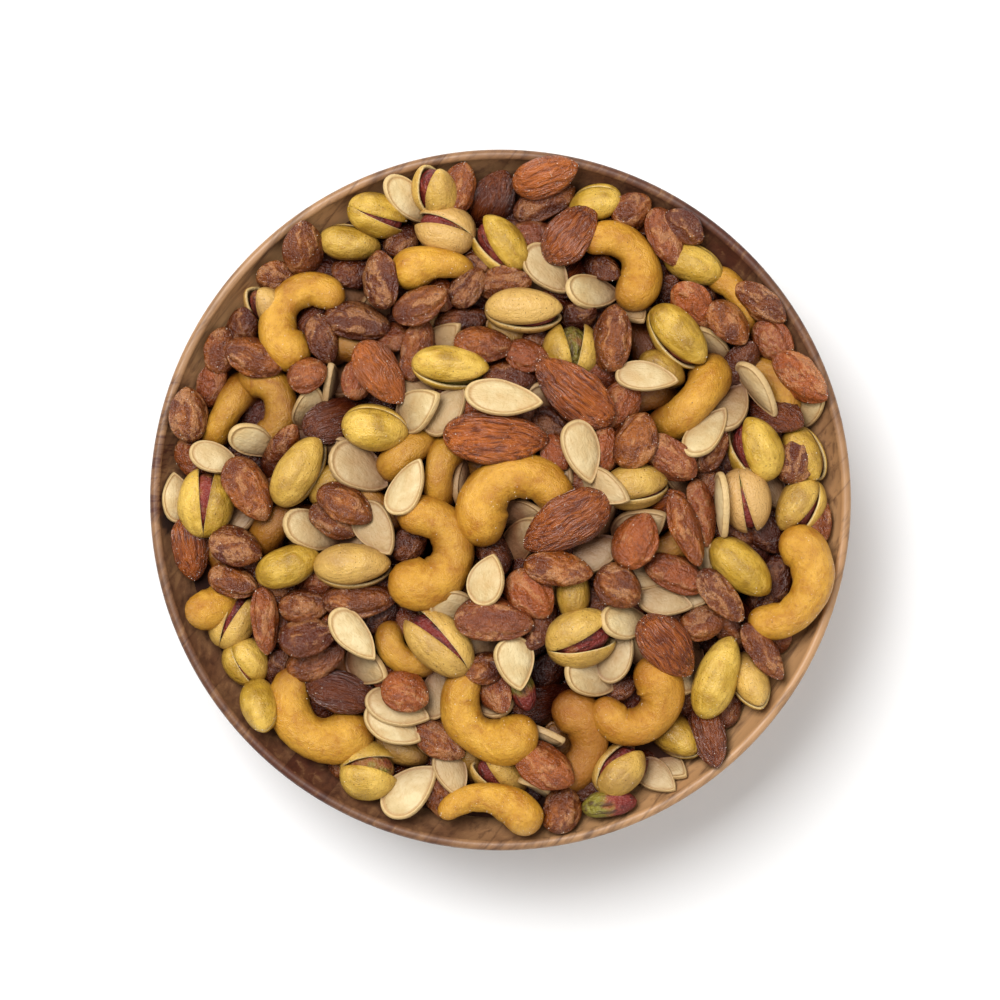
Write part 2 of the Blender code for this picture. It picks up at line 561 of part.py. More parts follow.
def make_nut_mix(collection, cutters, material):
    """The heap: the core and every nut that shows, fused into one solid."""
    nuts = all_nuts()
    settle(nuts)
    heap = make_core(collection, material)
    pieces = []
    for row in nuts:
        if mound_height(math.hypot(row["x"], row["y"])) - row["height"] > DEEPEST_SHOWN:
            continue
        piece = bpy.data.objects.new(row["kind"], nut_mesh(row))
        cutters.objects.link(piece)
        pieces.append(piece)
    join = heap.modifiers.new("Join", "BOOLEAN")
    join.operation = "UNION"
    join.solver = "EXACT"
    join.operand_type = "COLLECTION"
    join.collection = cutters
    apply_modifiers(heap)
    for piece in pieces:
        bpy.data.objects.remove(piece, do_unlink=True)
    keep_outer_skin(heap)
    shade_round(heap, SHARP_DEGREES)
    return heap


def main():
    clear_scene()
    parts = new_collection("trail_mix_bowl")
    cutters = new_collection("joined_nuts")
    wood = make_material("wood", WOOD_COLOUR, WOOD_ROUGHNESS)
    nuts = make_material("nuts", NUT_COLOUR, NUT_ROUGHNESS)
    make_bowl(parts, wood)
    make_nut_mix(parts, cutters, nuts)


main()
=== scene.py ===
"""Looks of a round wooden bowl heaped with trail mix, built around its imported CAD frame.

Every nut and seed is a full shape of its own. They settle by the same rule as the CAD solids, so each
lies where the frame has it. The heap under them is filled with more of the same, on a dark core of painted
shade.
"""

import math

import bpy
import numpy as np
from mathutils import Euler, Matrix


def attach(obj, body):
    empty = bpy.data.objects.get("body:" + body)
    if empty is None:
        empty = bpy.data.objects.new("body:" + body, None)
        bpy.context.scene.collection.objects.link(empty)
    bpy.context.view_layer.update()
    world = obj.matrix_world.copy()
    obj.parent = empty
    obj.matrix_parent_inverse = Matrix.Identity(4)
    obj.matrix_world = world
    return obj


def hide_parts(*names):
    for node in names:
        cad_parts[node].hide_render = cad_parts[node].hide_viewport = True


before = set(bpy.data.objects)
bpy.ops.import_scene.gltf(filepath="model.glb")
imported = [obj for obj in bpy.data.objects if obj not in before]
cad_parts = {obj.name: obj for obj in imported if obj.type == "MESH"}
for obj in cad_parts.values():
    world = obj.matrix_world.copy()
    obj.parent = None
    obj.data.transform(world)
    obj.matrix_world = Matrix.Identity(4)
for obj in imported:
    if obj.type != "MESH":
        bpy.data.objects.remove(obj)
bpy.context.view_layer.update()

bl_info = {
    "name": "Trail mix bowl",
    "version": (1, 0, 0),
    "blender": (4, 5, 0),
    "location": "3D View > Sidebar > Trail mix",
    "description": "Makes a wooden bowl heaped with nuts and seeds, piece by piece",
    "category": "Object",
}

MM = 0.001
CM = 10 * MM

# The bowl's section, as in the CAD.
FOOT_RADIUS = 34.0 * MM
FOOT_CHAMFER = 1.5 * MM
FLOOR_RADIUS = 20.0 * MM
FLOOR_HEIGHT = 7.0 * MM
RIM_RADIUS = 88.0 * MM
RIM_HEIGHT = 48.0 * MM
LIP_WIDTH = 2.6 * MM

# The mound that the nuts' tops reach, and how they settle under it, as in the CAD.
MOUND_MIDDLE = 61.0 * MM
MOUND_DROP = 9.5 * MM
MOUND_REACH = 80.0 * MM
LAYER_DROP = 3.2 * MM
TOP_LAYER = 2.0
UNEVENNESS = 1.4 * MM
UNEVENNESS_SEED = 7
GAP = 0.5 * MM
CELL = 0.5 * MM
MAP_HALF = 100.0 * MM

# The share of a nut's size that no nut above may enter.
NESTLE = 0.84

# Leans in degrees and shifts in cells that a nut may take, and what they cost.
LEANS = (-36, -24, -12, 0, 12, 24, 36)
LEAN_COST = 0.035 * MM
SHIFTS = ((0, 0), (2, 0), (-2, 0), (0, 2), (0, -2), (2, 2), (-2, 2), (2, -2), (-2, -2))
SHIFT_COST = 0.5

# The bowl's middle in the photograph, in pixels, its scale at the rim, and the camera's distance.
PHOTO_MIDDLE = (500.5, 500.0)
PHOTO_SCALE = 0.25 * MM
PHOTO_DISTANCE = 800.0 * MM
SENSOR_WIDTH = 36.0

# Rolls that seeds and oval nuts may take, in degrees.
EDGEWISE_LEAN = (64, 78)
SEED_LEAN = (-22, -11, 0, 11, 22)
OVAL_LEAN = (-20, 0, 20)

# Thickness of each kind as a share of its width.
THICKNESS = {"almond": 0.60, "kernel": 0.64, "seed": 0.27, "pistachio": 0.94}

# A cashew: how much stouter its stout end is, how small the end balls of its chain are, how many
# balls it has, and how far its round ends go beyond the curl as a share of its girth.
CASHEW_STOUTER = 0.16
CASHEW_END = 0.86
CASHEW_BEADS = 9
CASHEW_TIP = 0.40

# Cashews: place, way the back faces, radius of the curl and girth in mm, curl from middle to tip
# in degrees, layer, roll (90 has the back up), and how stout one end is, with a sign for which.
CASHEWS = (
    (296, 314, 149, 8.4, 9.8, 92, 2, 0, 1), (626, 259, 32, 8.2, 9.8, 78, 2, 0, -1),
    (513, 496, 112, 9.6, 12.0, 88, 2, 0, 1), (800, 592, -22, 11.2, 10.4, 72, 2.2, 5, 1),
    (642, 708, -48, 7.4, 11.0, 98, 2, 0, 1), (483, 722, -131, 9.2, 11.0, 80, 2, 0, 1),
    (431, 552, -8, 8.3, 12.2, 103, 2, 0, -1), (312, 722, -128, 9.8, 12.0, 78, 2, 0, 1),
    (578, 748, -5, 9.6, 10.8, 68, 1.2, 10, 1), (266, 402, 12, 7.6, 9.2, 76, 1, 0, 1),
    (407, 652, -105, 5.2, 8.6, 105, 1, 25, 1), (434, 265, 95, 9.5, 8.8, 46, 2, 60, 2.4),
    (742, 298, 25, 9.6, 6.4, 55, -0.9, 30, 1), (224, 406, -30, 8.0, 8.6, 72, 1, 80, 1),
    (692, 400, -42, 9.4, 10.2, 74, 2, 80, 1), (780, 384, 38, 7.0, 8.0, 62, 0.7, 30, -1),
    (490, 813, 80, 13.5, 8.4, 46, 1.4, 0, -2), (208, 587, -6, 8.6, 8.6, 78, 1.2, -8, -1.2),
    (415, 450, 128, 6.0, 8.6, 80, 1, 80, 1), (441, 474, 172, 5.8, 8.2, 80, 1.1, 80, -1),
    (280, 528, 120, 6.4, 8.6, 90, 0, 60, 1), (352, 354, 60, 6.4, 8.6, 90, 0, 60, 1),
    (650, 400, 100, 6.4, 8.6, 90, 0, 70, 1), (645, 355, 10, 6.4, 8.6, 90, 0, 60, 1),
)

# The other lists hold place, turn of the long axis, length and width in mm, and layer.
PISTACHIOS = (
    (372, 209, -20, 15.5, 9.8, 2), (348, 240, -8, 16, 9.8, 1), (430, 185, 100, 14, 10.5, 1),
    (445, 227, 160, 15.5, 11.5, 2), (500, 244, -48, 17, 10.8, 2), (524, 309, -3, 19.5, 10.8, 2),
    (600, 196, 10, 14, 9.5, 1), (679, 335, -50, 19, 11.5, 2), (700, 258, -25, 16.5, 10.5, 1),
    (297, 471, 57, 20, 11.5, 2), (203, 503, 87, 17.5, 12, 2), (450, 367, -8, 19.5, 10.5, 2),
    (374, 427, -8, 17, 12, 2), (573, 348, 90, 14, 12, 1), (668, 368, -30, 13, 9.5, 1),
    (637, 487, 6, 16.5, 11.5, 1.5), (757, 450, 118, 17, 12.5, 2.1), (812, 449, -62, 15.5, 9.8, 1),
    (752, 500, -78, 16.5, 11.8, 2), (804, 511, 62, 15.5, 10.8, 2), (743, 568, -42, 19.5, 12, 2),
    (286, 567, 20, 17, 10.8, 2), (351, 567, 0, 19.5, 11.5, 2), (230, 621, 65, 15.5, 10.2, 1.5),
    (239, 668, -60, 13, 11, 1), (262, 707, -75, 15.5, 10, 1), (439, 644, -45, 20.5, 11.6, 2),
    (581, 640, 17, 17.5, 12, 2), (574, 600, -90, 14, 9.5, 1), (719, 679, 70, 22, 11.6, 2),
    (749, 687, -70, 16.5, 10, 1), (680, 741, -40, 18.5, 11, 1), (620, 772, 50, 15, 11, 2),
    (368, 777, 0, 14.8, 13, 2), (400, 752, -25, 15.5, 9.5, 0), (500, 779, -35, 17, 10, 1),
    (262, 303, -50, 15.5, 10, 1), (614, 802, 8, 14, 7, 2), (523, 692, -75, 11, 6.5, 1),
)
ALMONDS = (
    (571, 232, 50, 18.5, 12, 2), (492, 193, 65, 18, 12.5, 1), (379, 372, -55, 18.5, 11, 2),
    (336, 418, 20, 20, 11.5, 1), (496, 441, -3, 26.5, 14, 2), (574, 391, 140, 24.5, 13.2, 2),
    (567, 523, 210, 24.5, 14, 2.2), (779, 412, -28, 18, 11, 1.6), (338, 698, -15, 20, 11, 1),
    (548, 708, 10, 23, 11, 1), (668, 647, -50, 19, 13, 2.4), (550, 171, 18, 17.5, 10.5, 2),
    (184, 552, -85, 17, 10, 1), (714, 741, -75, 18, 10, 2),
)
KERNELS = (
    (298, 243, 92, 15, 10, 2), (273, 273, -15, 12.5, 8, 1), (458, 182, 75, 13.5, 8.5, 2),
    (397, 232, 60, 12, 8.5, 1), (356, 262, 25, 15.5, 9.5, 1), (380, 278, 97, 15, 8.5, 2),
    (420, 303, 27, 15, 9, 2), (463, 285, 50, 12, 8, 1), (356, 320, -12, 17, 10, 1),
    (460, 318, 10, 14, 8, 0), (505, 286, 10, 14, 8.5, 1), (545, 198, 25, 17, 8.5, 1),
    (533, 232, 0, 13, 8, 1), (633, 208, 30, 11, 9.5, 2), (640, 222, 30, 9, 7, 0),
    (607, 264, -35, 13, 7, 1), (575, 318, 30, 12, 8, 1), (614, 337, 85, 17, 9.5, 2),
    (668, 236, -65, 16.5, 9, 2), (688, 227, -35, 12, 8.2, 0.6), (766, 302, -35, 15.5, 7.5, 2.4),
    (780, 336, -50, 13, 9, 1), (696, 306, -55, 16, 9, 2), (730, 322, -50, 13.5, 9, 2.3),
    (214, 345, 80, 12, 8, 1), (239, 327, 80, 12, 8, 1), (257, 357, -22, 15.5, 9.5, 2),
    (214, 386, 75, 13, 8, 1), (183, 410, 95, 14, 9.5, 2), (306, 374, 20, 10.5, 9, 2),
    (318, 337, -75, 13, 8, 1), (340, 340, 70, 12, 8, 0), (283, 456, 62, 19.5, 7.5, 2),
    (247, 489, -60, 18, 10.5, 2), (191, 457, -70, 12, 9, 1), (222, 437, 20, 10, 8, 0),
    (357, 376, 70, 12, 8, 1), (417, 348, 78, 16.5, 8.5, 1), (484, 343, -3, 15.5, 9, 2),
    (390, 335, -20, 12.5, 8, 1), (524, 350, -15, 12, 8, 1), (514, 372, 0, 14.5, 9, 1),
    (620, 402, 60, 14.5, 10.5, 1), (636, 440, 65, 15, 10.5, 2), (606, 448, 85, 12, 8, 1),
    (557, 452, -60, 10, 7.5, 1), (553, 424, -40, 11, 8.5, 0), (672, 458, -35, 15.5, 9.5, 2),
    (743, 362, 60, 14, 9, 1), (806, 373, -42, 17.5, 9.5, 2), (711, 447, 60, 13, 9, 1),
    (797, 460, 75, 12.5, 9.5, 2), (822, 518, 80, 13.5, 8.5, 1), (708, 482, 80, 12, 8, 0),
    (704, 513, -80, 17.5, 7, 1), (687, 530, -70, 19.5, 7.5, 2), (637, 541, 65, 15, 10.5, 2),
    (678, 575, -25, 17, 9, 1), (727, 592, -50, 16.5, 8, 2), (774, 585, 65, 17, 10, 0),
    (620, 587, -40, 13, 11, 2), (704, 623, 15, 12.5, 9.5, 1), (730, 636, -65, 12, 7, 1),
    (765, 652, -55, 17, 7, 2), (616, 690, 10, 12, 8, 0), (650, 768, 60, 12.5, 8, 0),
    (494, 621, -5, 20, 11, 2.1), (405, 693, -25, 12.5, 10, 2), (482, 673, 20, 12, 8, 1),
    (495, 695, -60, 12, 8, 1), (552, 680, 70, 13, 10, 1), (545, 768, -30, 17, 10.5, 2),
    (443, 742, -35, 15, 8.5, 1.2), (566, 815, 80, 13, 9.5, 2), (559, 569, -8, 17.5, 8.5, 2),
    (530, 596, -50, 14.5, 11.5, 1.6), (492, 545, -70, 18, 9, 1), (420, 512, 20, 15, 8.5, 1),
    (414, 548, 40, 12, 8, 0), (344, 505, -30, 15.5, 9, 2), (332, 521, -30, 13.5, 8.5, 1),
    (234, 547, -20, 14, 9.5, 2), (231, 582, -20, 13, 8.5, 2), (263, 622, -85, 17, 7, 2),
    (303, 606, 5, 13.5, 8.5, 1), (358, 597, 3, 19, 9, 1), (306, 638, 10, 14.5, 9.5, 2),
    (314, 665, 25, 16, 9.5, 1), (382, 625, 50, 12.5, 8.5, 0), (335, 770, -70, 11, 7, -0.6),
    (540, 626, 65, 15, 8, 1), (772, 528, -60, 15, 10, 0),
)
SEEDS = (
    (407, 202, -48, 16, 8.5, 2), (352, 281, 30, 16, 9.5, 1), (368, 300, 80, 14, 8.5, 0),
    (547, 268, -50, 15.5, 10, 1), (594, 290, -3, 17, 9.3, 2), (631, 301, -50, 14, 8.5, 1),
    (645, 335, -70, 16, 8.5, 0), (440, 341, 45, 16, 9, 1), (466, 325, 20, 14, 8, 0),
    (341, 372, 80, 14, 8.5, 0), (307, 410, 75, 14, 8.5, 1), (287, 421, -42, 16, 9, 1),
    (252, 445, -25, 15.5, 8.5, 2), (214, 458, -20, 14, 8, 2), (178, 497, 95, 13, 8, 1),
    (413, 408, 35, 15.5, 10.5, 2), (445, 409, 50, 15, 9.5, 1), (504, 402, -8, 19.5, 9.5, 2),
    (548, 401, -40, 14, 8.5, 0), (648, 376, -6, 16, 8, 2), (583, 451, -75, 16.5, 10, 2),
    (605, 487, -30, 15.5, 8.5, 2), (553, 470, -50, 14, 8.5, 0), (357, 468, -35, 17.5, 12, 1),
    (406, 487, 62, 15.5, 8.8, 2), (685, 478, -45, 14.5, 8.5, 0), (814, 404, 40, 13, 8, 1),
    (728, 403, 55, 15.5, 10.5, 1), (704, 428, 50, 17, 8.5, 2), (779, 487, -60, 14, 8.5, 0),
    (641, 528, 25, 16, 10.5, 1), (649, 577, 0, 13, 8, 0), (667, 602, -10, 14.5, 8, 1),
    (695, 601, 0, 14, 8, 0), (628, 623, -5, 16, 9.3, 2.1), (696, 672, 65, 17.5, 9.5, 1.9),
    (618, 659, 60, 14, 9, 1), (645, 655, -70, 14, 8, 1), (673, 772, -30, 14, 8.2, 1),
    (658, 783, -35, 12.5, 8, 1.2), (586, 676, -30, 15, 10, 1), (515, 664, -80, 14, 10.5, 2),
    (485, 652, 10, 14, 8.5, 0), (397, 710, -20, 17, 9.5, 1.2), (396, 728, -30, 16, 9.5, 1),
    (436, 695, 80, 14, 8.5, 0), (455, 779, -70, 14, 8.5, 1), (432, 748, -40, 13, 8, 0),
    (409, 792, 42, 17.5, 11, 1.5), (487, 580, 75, 13.5, 9.8, 2), (453, 605, -15, 15.5, 9, 1),
    (412, 598, -30, 15, 8.5, 0), (517, 543, 55, 16, 9, 1), (525, 510, 10, 14, 8.5, 0),
    (598, 553, 20, 15, 10, 0), (312, 532, -25, 17.5, 10, 1), (374, 529, -60, 15.5, 10, 1),
    (353, 636, -50, 16, 8.8, 2), (362, 673, -25, 14.5, 9.5, 1),
)
EDGEWISE_SEEDS = (
    (327, 386, 82, 15, 9, 1), (645, 304, -10, 13, 8.5, 0), (459, 482, 90, 13, 8.5, 0),
    (760, 388, -55, 16.5, 9, 2), (815, 381, -70, 10, 7, 1), (723, 505, -86, 16.5, 9, 2),
    (543, 740, -10, 14, 9, 1), (542, 795, -35, 12, 8, 1), (609, 525, 80, 13, 8.5, 0),
)

# How each pistachio of the list looks: 1 if its tip points along its turn and -1 if its stem
# does, roll of its slit from straight up, gape, tone of the shell and redness of the kernel.
# The last two of the list have no look and are loose kernels.
PISTACHIO_LOOKS = (
    (1, 12, 9, 0.0, 0.9), (1, 100, 2, 0.0, 0.5), (1, -45, 18, 0.3, 0.9), (1, 18, 13, 0.7, 0.8),
    (-1, 38, 18, 0.0, 0.9), (1, 56, 11, 0.6, 0.9), (-1, -62, 7, 0.0, 0.5), (1, 60, 10, -0.2, 0.8),
    (1, 110, 2, -0.3, 0.4), (1, 72, 8, 0.2, 0.6), (1, 0, 15, -0.1, 0.7), (1, 58, 14, -0.3, 0.1),
    (1, 120, 3, -0.2, 0.5), (1, 8, 26, -0.1, 0.1), (1, 80, 4, 0.1, 0.5), (1, 35, 5, 0.3, 0.7),
    (1, -45, 20, 0.0, 0.9), (1, -65, 12, 0.1, 0.7), (1, 8, 9, 0.9, 0.8), (-1, 35, 16, 0.2, 0.9),
    (1, 85, 3, -0.1, 0.5), (1, 80, 4, -0.2, 0.5), (1, 62, 9, 0.5, 0.8), (1, -10, 14, 0.3, 0.9),
    (1, 20, 6, 0.0, 0.6), (1, 90, 2, 0.0, 0.5), (-1, -16, 12, 0.4, 1.0), (1, 20, 22, 0.3, 1.0),
    (1, 90, 3, 0.1, 0.5), (1, 88, 3, -0.1, 0.5), (1, 85, 5, 0.4, 0.5), (1, 86, 4, -0.1, 0.5),
    (1, -48, 18, 0.3, 0.8), (1, -26, 22, 0.1, 0.45), (1, 90, 3, 0.3, 0.5), (-1, 35, 15, 0.3, 0.8),
    (-1, 60, 16, 0.6, 0.5),
)
FILL_SHELL_LOOK = (1, 90, 3, 0.1, 0.5)
LOOSE_KERNEL_LOOK = (1, 0, 0, 1.2, 0.5)

# Nuts of the lists that stand out in tone: place, and -1 for the palest to 1 for the darkest.
TONES = (
    (578, 748, 0.9), (645, 355, 1.0), (642, 708, 0.5), (280, 528, 0.4), (492, 193, 0.9), (336, 418, 1.0),
    (338, 698, 1.0), (548, 708, 0.8), (779, 412, 0.9), (714, 741, 0.8), (379, 372, -0.9), (550, 171, -0.6),
    (496, 441, 0.0), (567, 523, 0.35), (574, 391, 0.2), (571, 232, 0.4), (668, 647, 0.3), (184, 552, 0.2),
    (298, 243, 0.6), (380, 278, 0.8), (356, 262, -0.5), (397, 232, 0.9), (533, 232, 0.8), (545, 198, 0.4),
    (557, 452, -1.0), (530, 596, -1.0), (637, 541, -0.8), (650, 768, -0.5), (420, 303, 0.5),
    (494, 621, 0.7), (382, 625, 0.9), (774, 585, 0.8), (772, 528, 0.9), (797, 460, 0.8), (727, 592, 0.6),
    (540, 626, 0.7), (505, 286, 0.3), (575, 318, 0.9), (306, 374, 0.2), (318, 337, 0.6), (247, 489, -0.3),
    (358, 597, -0.1), (344, 505, 0.3), (332, 521, 0.5), (234, 547, 0.6), (314, 665, 0.1), (620, 587, 0.1),
    (614, 337, 0.3), (636, 440, 0.1), (420, 348, -0.4), (484, 343, -0.4), (257, 357, -0.1), (183, 410, 0.4),
)

# Nuts under the ones that the photograph shows, so that the gaps between those hold nuts too.
# They go one by one into the widest gap that is left, as seen from above.
FILL_REACH = 77.5 * MM
FILL_ALL_KINDS = 70.0 * MM
FILL_SQUEEZE = 1.2 * MM
FILL_MOST = 420
FILL_LAYERS = (-0.4, 0.9)
FILL_TURN = 25
FILL_SEED = 31
GAP_CELLS = 4
GAP_SHARE = 0.30
GAP_SURROUNDINGS = 7 * MM
GAP_TRIED = 1.5 * MM

# Kinds of these nuts: share of the draws, length and width in mm (for a cashew radius of the curl
# and girth), and rolls.
FILLERS = {
    "kernel": (0.66, 13.5, 8.2, (0,)),
    "seed": (0.11, 14.5, 8.6, (-30, 0, 30)),
    "pistachio": (0.09, 15, 9.4, (0,)),
    "cashew": (0.06, 6.6, 8.0, 40),
    "almond": (0.08, 17.5, 10, (0,)),
}
FILL_CURL = 80

# The dark core, painted shade deep in the heap: its depth under the mound at the middle and at the wall,
# and its radius. Nuts that lie deeper than the sunk depth are left out.
CORE_DEPTH = 22.0 * MM
CORE_EDGE_DEPTH = 8.0 * MM
CORE_RADIUS = 80.0 * MM
SUNK_DEPTH = CORE_DEPTH + 2 * MM

# Steps along and sides round the turned meshes.
WALL_STEPS = 22
LIP_STEPS = 12
BOWL_SIDES = 192
CORE_RINGS = 16
CORE_SIDES = 96

# Sides round and rings along each kind's mesh, for nuts that show and for those below the depth.
DETAIL = {
    "cashew": ((40, 48), (20, 20)),
    "almond": ((72, 44), (24, 14)),
    "kernel": ((36, 28), (16, 12)),
    "seed": ((44,), (24,)),
    "pistachio": ((14, 32), (8, 14)),
    "inner": ((24, 18), (12, 8)),
}
DEEP = 7.5 * MM

# The seed of each kind's random draws.
DRAW_SEEDS = {"cashew": 1, "pistachio": 2, "almond": 3, "kernel": 4, "seed": 5}
SEED_STEP = 10007

# Shares of the salt grains that lie on each piece, how deep they reach and their half sizes in mm.
SALT_SHARES = (("brown_kernels", 0.5), ("almonds", 0.2), ("cashews", 0.16), ("pistachio_shells", 0.14))
SALT_REACH = 6 * MM
SALT_SIZES = (0.05, 0.14)
SALT_SEED = 77

# Painted shade: what the colours of the nuts are multiplied by at 10 mm and more under the mound.
DEEP_SHADE_TINT = (0.27, 0.16, 0.14, 1.0)

# The wood's grain runs this way across the bowl, in degrees from +X. Blocks in a row are shifted
# by up to the stagger.
GRAIN_ANGLE = 51.0
BLOCK_STAGGER = 150.0 * MM

# The board across the left wall: where it fades in from the middle, from below and from above as
# seen in the photograph, and how wide its strips are.
BOARD_FADE_X = (-66.0 * MM, -74.0 * MM)
BOARD_FADE_LOWER = (-6.0 * MM, -2.0 * MM)
BOARD_FADE_UPPER = (32.0 * MM, 30.0 * MM)
BOARD_STEP = 8.2 * MM

# A dark knot in the wall at the left: its place, and how far it spreads each way.
KNOT_PLACE = (-83.4 * MM, -5.0 * MM, 44.0 * MM)
KNOT_SPREAD = (2.6 * MM, 4.4 * MM, 8.0 * MM)

# The floor's half width and how far it lies under the foot, the lights' names, sizes and places,
# and the colour of the light from all around.
FLOOR_HALF = 3.0
FLOOR_DROP = 0.2 * MM
LIGHTS = (("key_light", 0.7, (-0.38, 0.46, 1.2)), ("fill_light", 1.4, (0.7, -0.5, 1.2)))
ROOM_COLOUR = (1.0, 0.985, 0.96, 1.0)


def srgb(red, green, blue):
    """A display colour of 0 to 255 as linear numbers."""
    values = [channel / 255 for channel in (red, green, blue)]
    return tuple(v / 12.92 if v <= 0.04045 else ((v + 0.055) / 1.055) ** 2.4 for v in values)


# Settling

def mound_height(radius):
    """How high the tops of the nuts reach at a distance from the middle."""
    return MOUND_MIDDLE - MOUND_DROP * (radius / MOUND_REACH) ** 2


def cashew_half(share, girth, stout_end):
    """Half a cashew's girth at a share of its length, from -1 to 1."""
    return 0.5 * girth * (1 - CASHEW_STOUTER * stout_end * share)


def cashew_middle(curl_radius, curl):
    """How far the middle of a cashew's outline lies from the middle of its curl."""
    return curl_radius * (1 + math.cos(math.radians(curl))) / 2


def cashew_beads(curl_radius, girth, curl, stout_end):
    """A cashew as a chain of balls: their middles and radii, with the back to +Y."""
    middles = []
    radii = []
    for share in np.linspace(-1, 1, CASHEW_BEADS):
        angle = math.radians(90 - curl * share)
        rise = curl_radius * math.sin(angle) - cashew_middle(curl_radius, curl)
        middles.append((curl_radius * math.cos(angle), rise, 0.0))
        end = CASHEW_END if abs(share) == 1 else 1.0
        radii.append([cashew_half(share, girth, stout_end) * end] * 3)
    return np.array(middles), np.array(radii)


def photo_place(x, y):
    """Where a point of the photograph lies on the mound, in metres."""
    x = (x - PHOTO_MIDDLE[0]) * PHOTO_SCALE
    y = (PHOTO_MIDDLE[1] - y) * PHOTO_SCALE
    nearness = 1 - (mound_height(math.hypot(x, y)) - RIM_HEIGHT) / PHOTO_DISTANCE
    return x * nearness, y * nearness


def nut(kind, place, turn, middles, halves, layer, rolls, look=()):
    """One nut to settle: its balls or ellipsoids are in its own frame, long axis X, flat side Z."""
    return {"kind": kind, "x": place[0], "y": place[1], "turn": turn, "middles": middles,
            "halves": halves, "layer": layer, "rolls": rolls, "look": look, "fill": False}


def cashew_nut(place, back, curl_radius, girth, curl, layer, roll, stout_end):
    shape = (curl_radius * MM, girth * MM, curl, stout_end)
    middles, halves = cashew_beads(*shape)
    row = nut("cashew", place, back - 90, middles, halves, layer, (roll - 10, roll, roll + 10))
    row["shape"] = shape
    return row


def oval_nut(kind, place, turn, length, width, layer, rolls, look=()):
    """A nut that is one ellipsoid."""
    halves = np.array([[length, width, width * THICKNESS[kind]]]) * MM / 2
    return nut(kind, place, turn, np.zeros((1, 3)), halves, layer, rolls, look)


def listed_nuts():
    """The nuts that the photograph shows, top layer first."""
    found = []
    for x, y, *form in CASHEWS:
        found.append(cashew_nut(photo_place(x, y), *form))
    for index, (x, y, turn, length, width, layer) in enumerate(PISTACHIOS):
        look = PISTACHIO_LOOKS[index] if index < len(PISTACHIO_LOOKS) else ()
        found.append(oval_nut("pistachio", photo_place(x, y), turn, length, width, layer, (0,), look))
    for kind, rows, rolls in (("almond", ALMONDS, OVAL_LEAN), ("kernel", KERNELS, OVAL_LEAN),
                              ("seed", SEEDS, SEED_LEAN), ("seed", EDGEWISE_SEEDS, EDGEWISE_LEAN)):
        for x, y, turn, length, width, layer in rows:
            found.append(oval_nut(kind, photo_place(x, y), turn, length, width, layer, rolls))
    for x, y, tone in TONES:
        place = photo_place(x, y)
        nearest = min(found, key=lambda row: math.hypot(row["x"] - place[0], row["y"] - place[1]))
        nearest["tone"] = tone
    return sorted(found, key=lambda row: -row["layer"])


def widest_gap(ceiling, tried, line):
    """The place of the widest gap between the settled nuts, the way it runs and how open it is."""
    x, y = np.meshgrid(line, line, indexing="ij")
    free = np.isinf(ceiling) & (np.hypot(x, y) < FILL_REACH)
    reach = 2 * GAP_CELLS + 1
    total = np.pad((free & ~tried).astype(float), ((reach, 0), (reach, 0))).cumsum(0).cumsum(1)
    share = total[reach:, reach:] - total[:-reach, reach:]
    share = share - total[reach:, :-reach] + total[:-reach, :-reach]
    i, j = np.unravel_index(int(np.argmax(share)), share.shape)
    middle = np.array((line[i - GAP_CELLS], line[j - GAP_CELLS]))
    near = free & (np.hypot(x - middle[0], y - middle[1]) < GAP_SURROUNDINGS)
    _, ways = np.linalg.eigh(np.cov(np.stack([x[near], y[near]])))
    return middle, math.degrees(math.atan2(ways[1, 1], ways[0, 1])), share[i, j] / reach**2


def fill_nut(place, turn, layer, chance):
    """A nut of any kind for a gap, and near the wall always a kernel."""
    kind = chance.choice(list(FILLERS), p=[row[0] for row in FILLERS.values()])
    if math.hypot(*place) > FILL_ALL_KINDS:
        kind = "kernel"
    _, length, width, rolls = FILLERS[kind]
    if kind == "cashew":
        row = cashew_nut(place, turn + 90, length, width, FILL_CURL, layer, rolls, 1)
    else:
        look = FILL_SHELL_LOOK if kind == "pistachio" else ()
        row = oval_nut(kind, place, turn, length, width, layer, rolls, look)
    row["fill"] = True
    return row


def inner_height(radius):
    """The height of the bowl's inner wall at a distance from the middle."""
    share = np.maximum(radius - FLOOR_RADIUS, 0) / (RIM_RADIUS - LIP_WIDTH - FLOOR_RADIUS)
    return FLOOR_HEIGHT + (RIM_HEIGHT - LIP_WIDTH / 2 - FLOOR_HEIGHT) * share**2


def height_map():
    """The map's grid lines, and the height of the empty bowl over them with room for the gap."""
    count = int(round(2 * MAP_HALF / CELL)) + 1
    line = np.linspace(-MAP_HALF, MAP_HALF, count)
    x, y = np.meshgrid(line, line, indexing="ij")
    return line, np.minimum(inner_height(np.hypot(x, y)), RIM_HEIGHT) + 2 * GAP


def lowest_and_highest(x, y, middles, halves, rotation):
    """Lower and upper height of a nut over a patch of the map, from the nut's own middle."""
    low = np.full(x.shape, np.inf)
    high = np.full(x.shape, -np.inf)
    for middle, half in zip(middles @ rotation.T, halves):
        form = rotation @ np.diag(1 / half**2) @ rotation.T
        dx = x - middle[0]
        dy = y - middle[1]
        cross = form[0, 2] * dx + form[1, 2] * dy
        rest = form[0, 0] * dx**2 + 2 * form[0, 1] * dx * dy + form[1, 1] * dy**2 - 1
        inside = cross**2 - form[2, 2] * rest
        root = np.sqrt(np.clip(inside, 0, None))
        hit = inside > 0
        low = np.where(hit, np.minimum(low, middle[2] + (-cross - root) / form[2, 2]), low)
        high = np.where(hit, np.maximum(high, middle[2] + (-cross + root) / form[2, 2]), high)
    return low, high


def cells_near(line, value, reach):
    return np.flatnonzero(np.abs(line - value) <= reach + CELL)


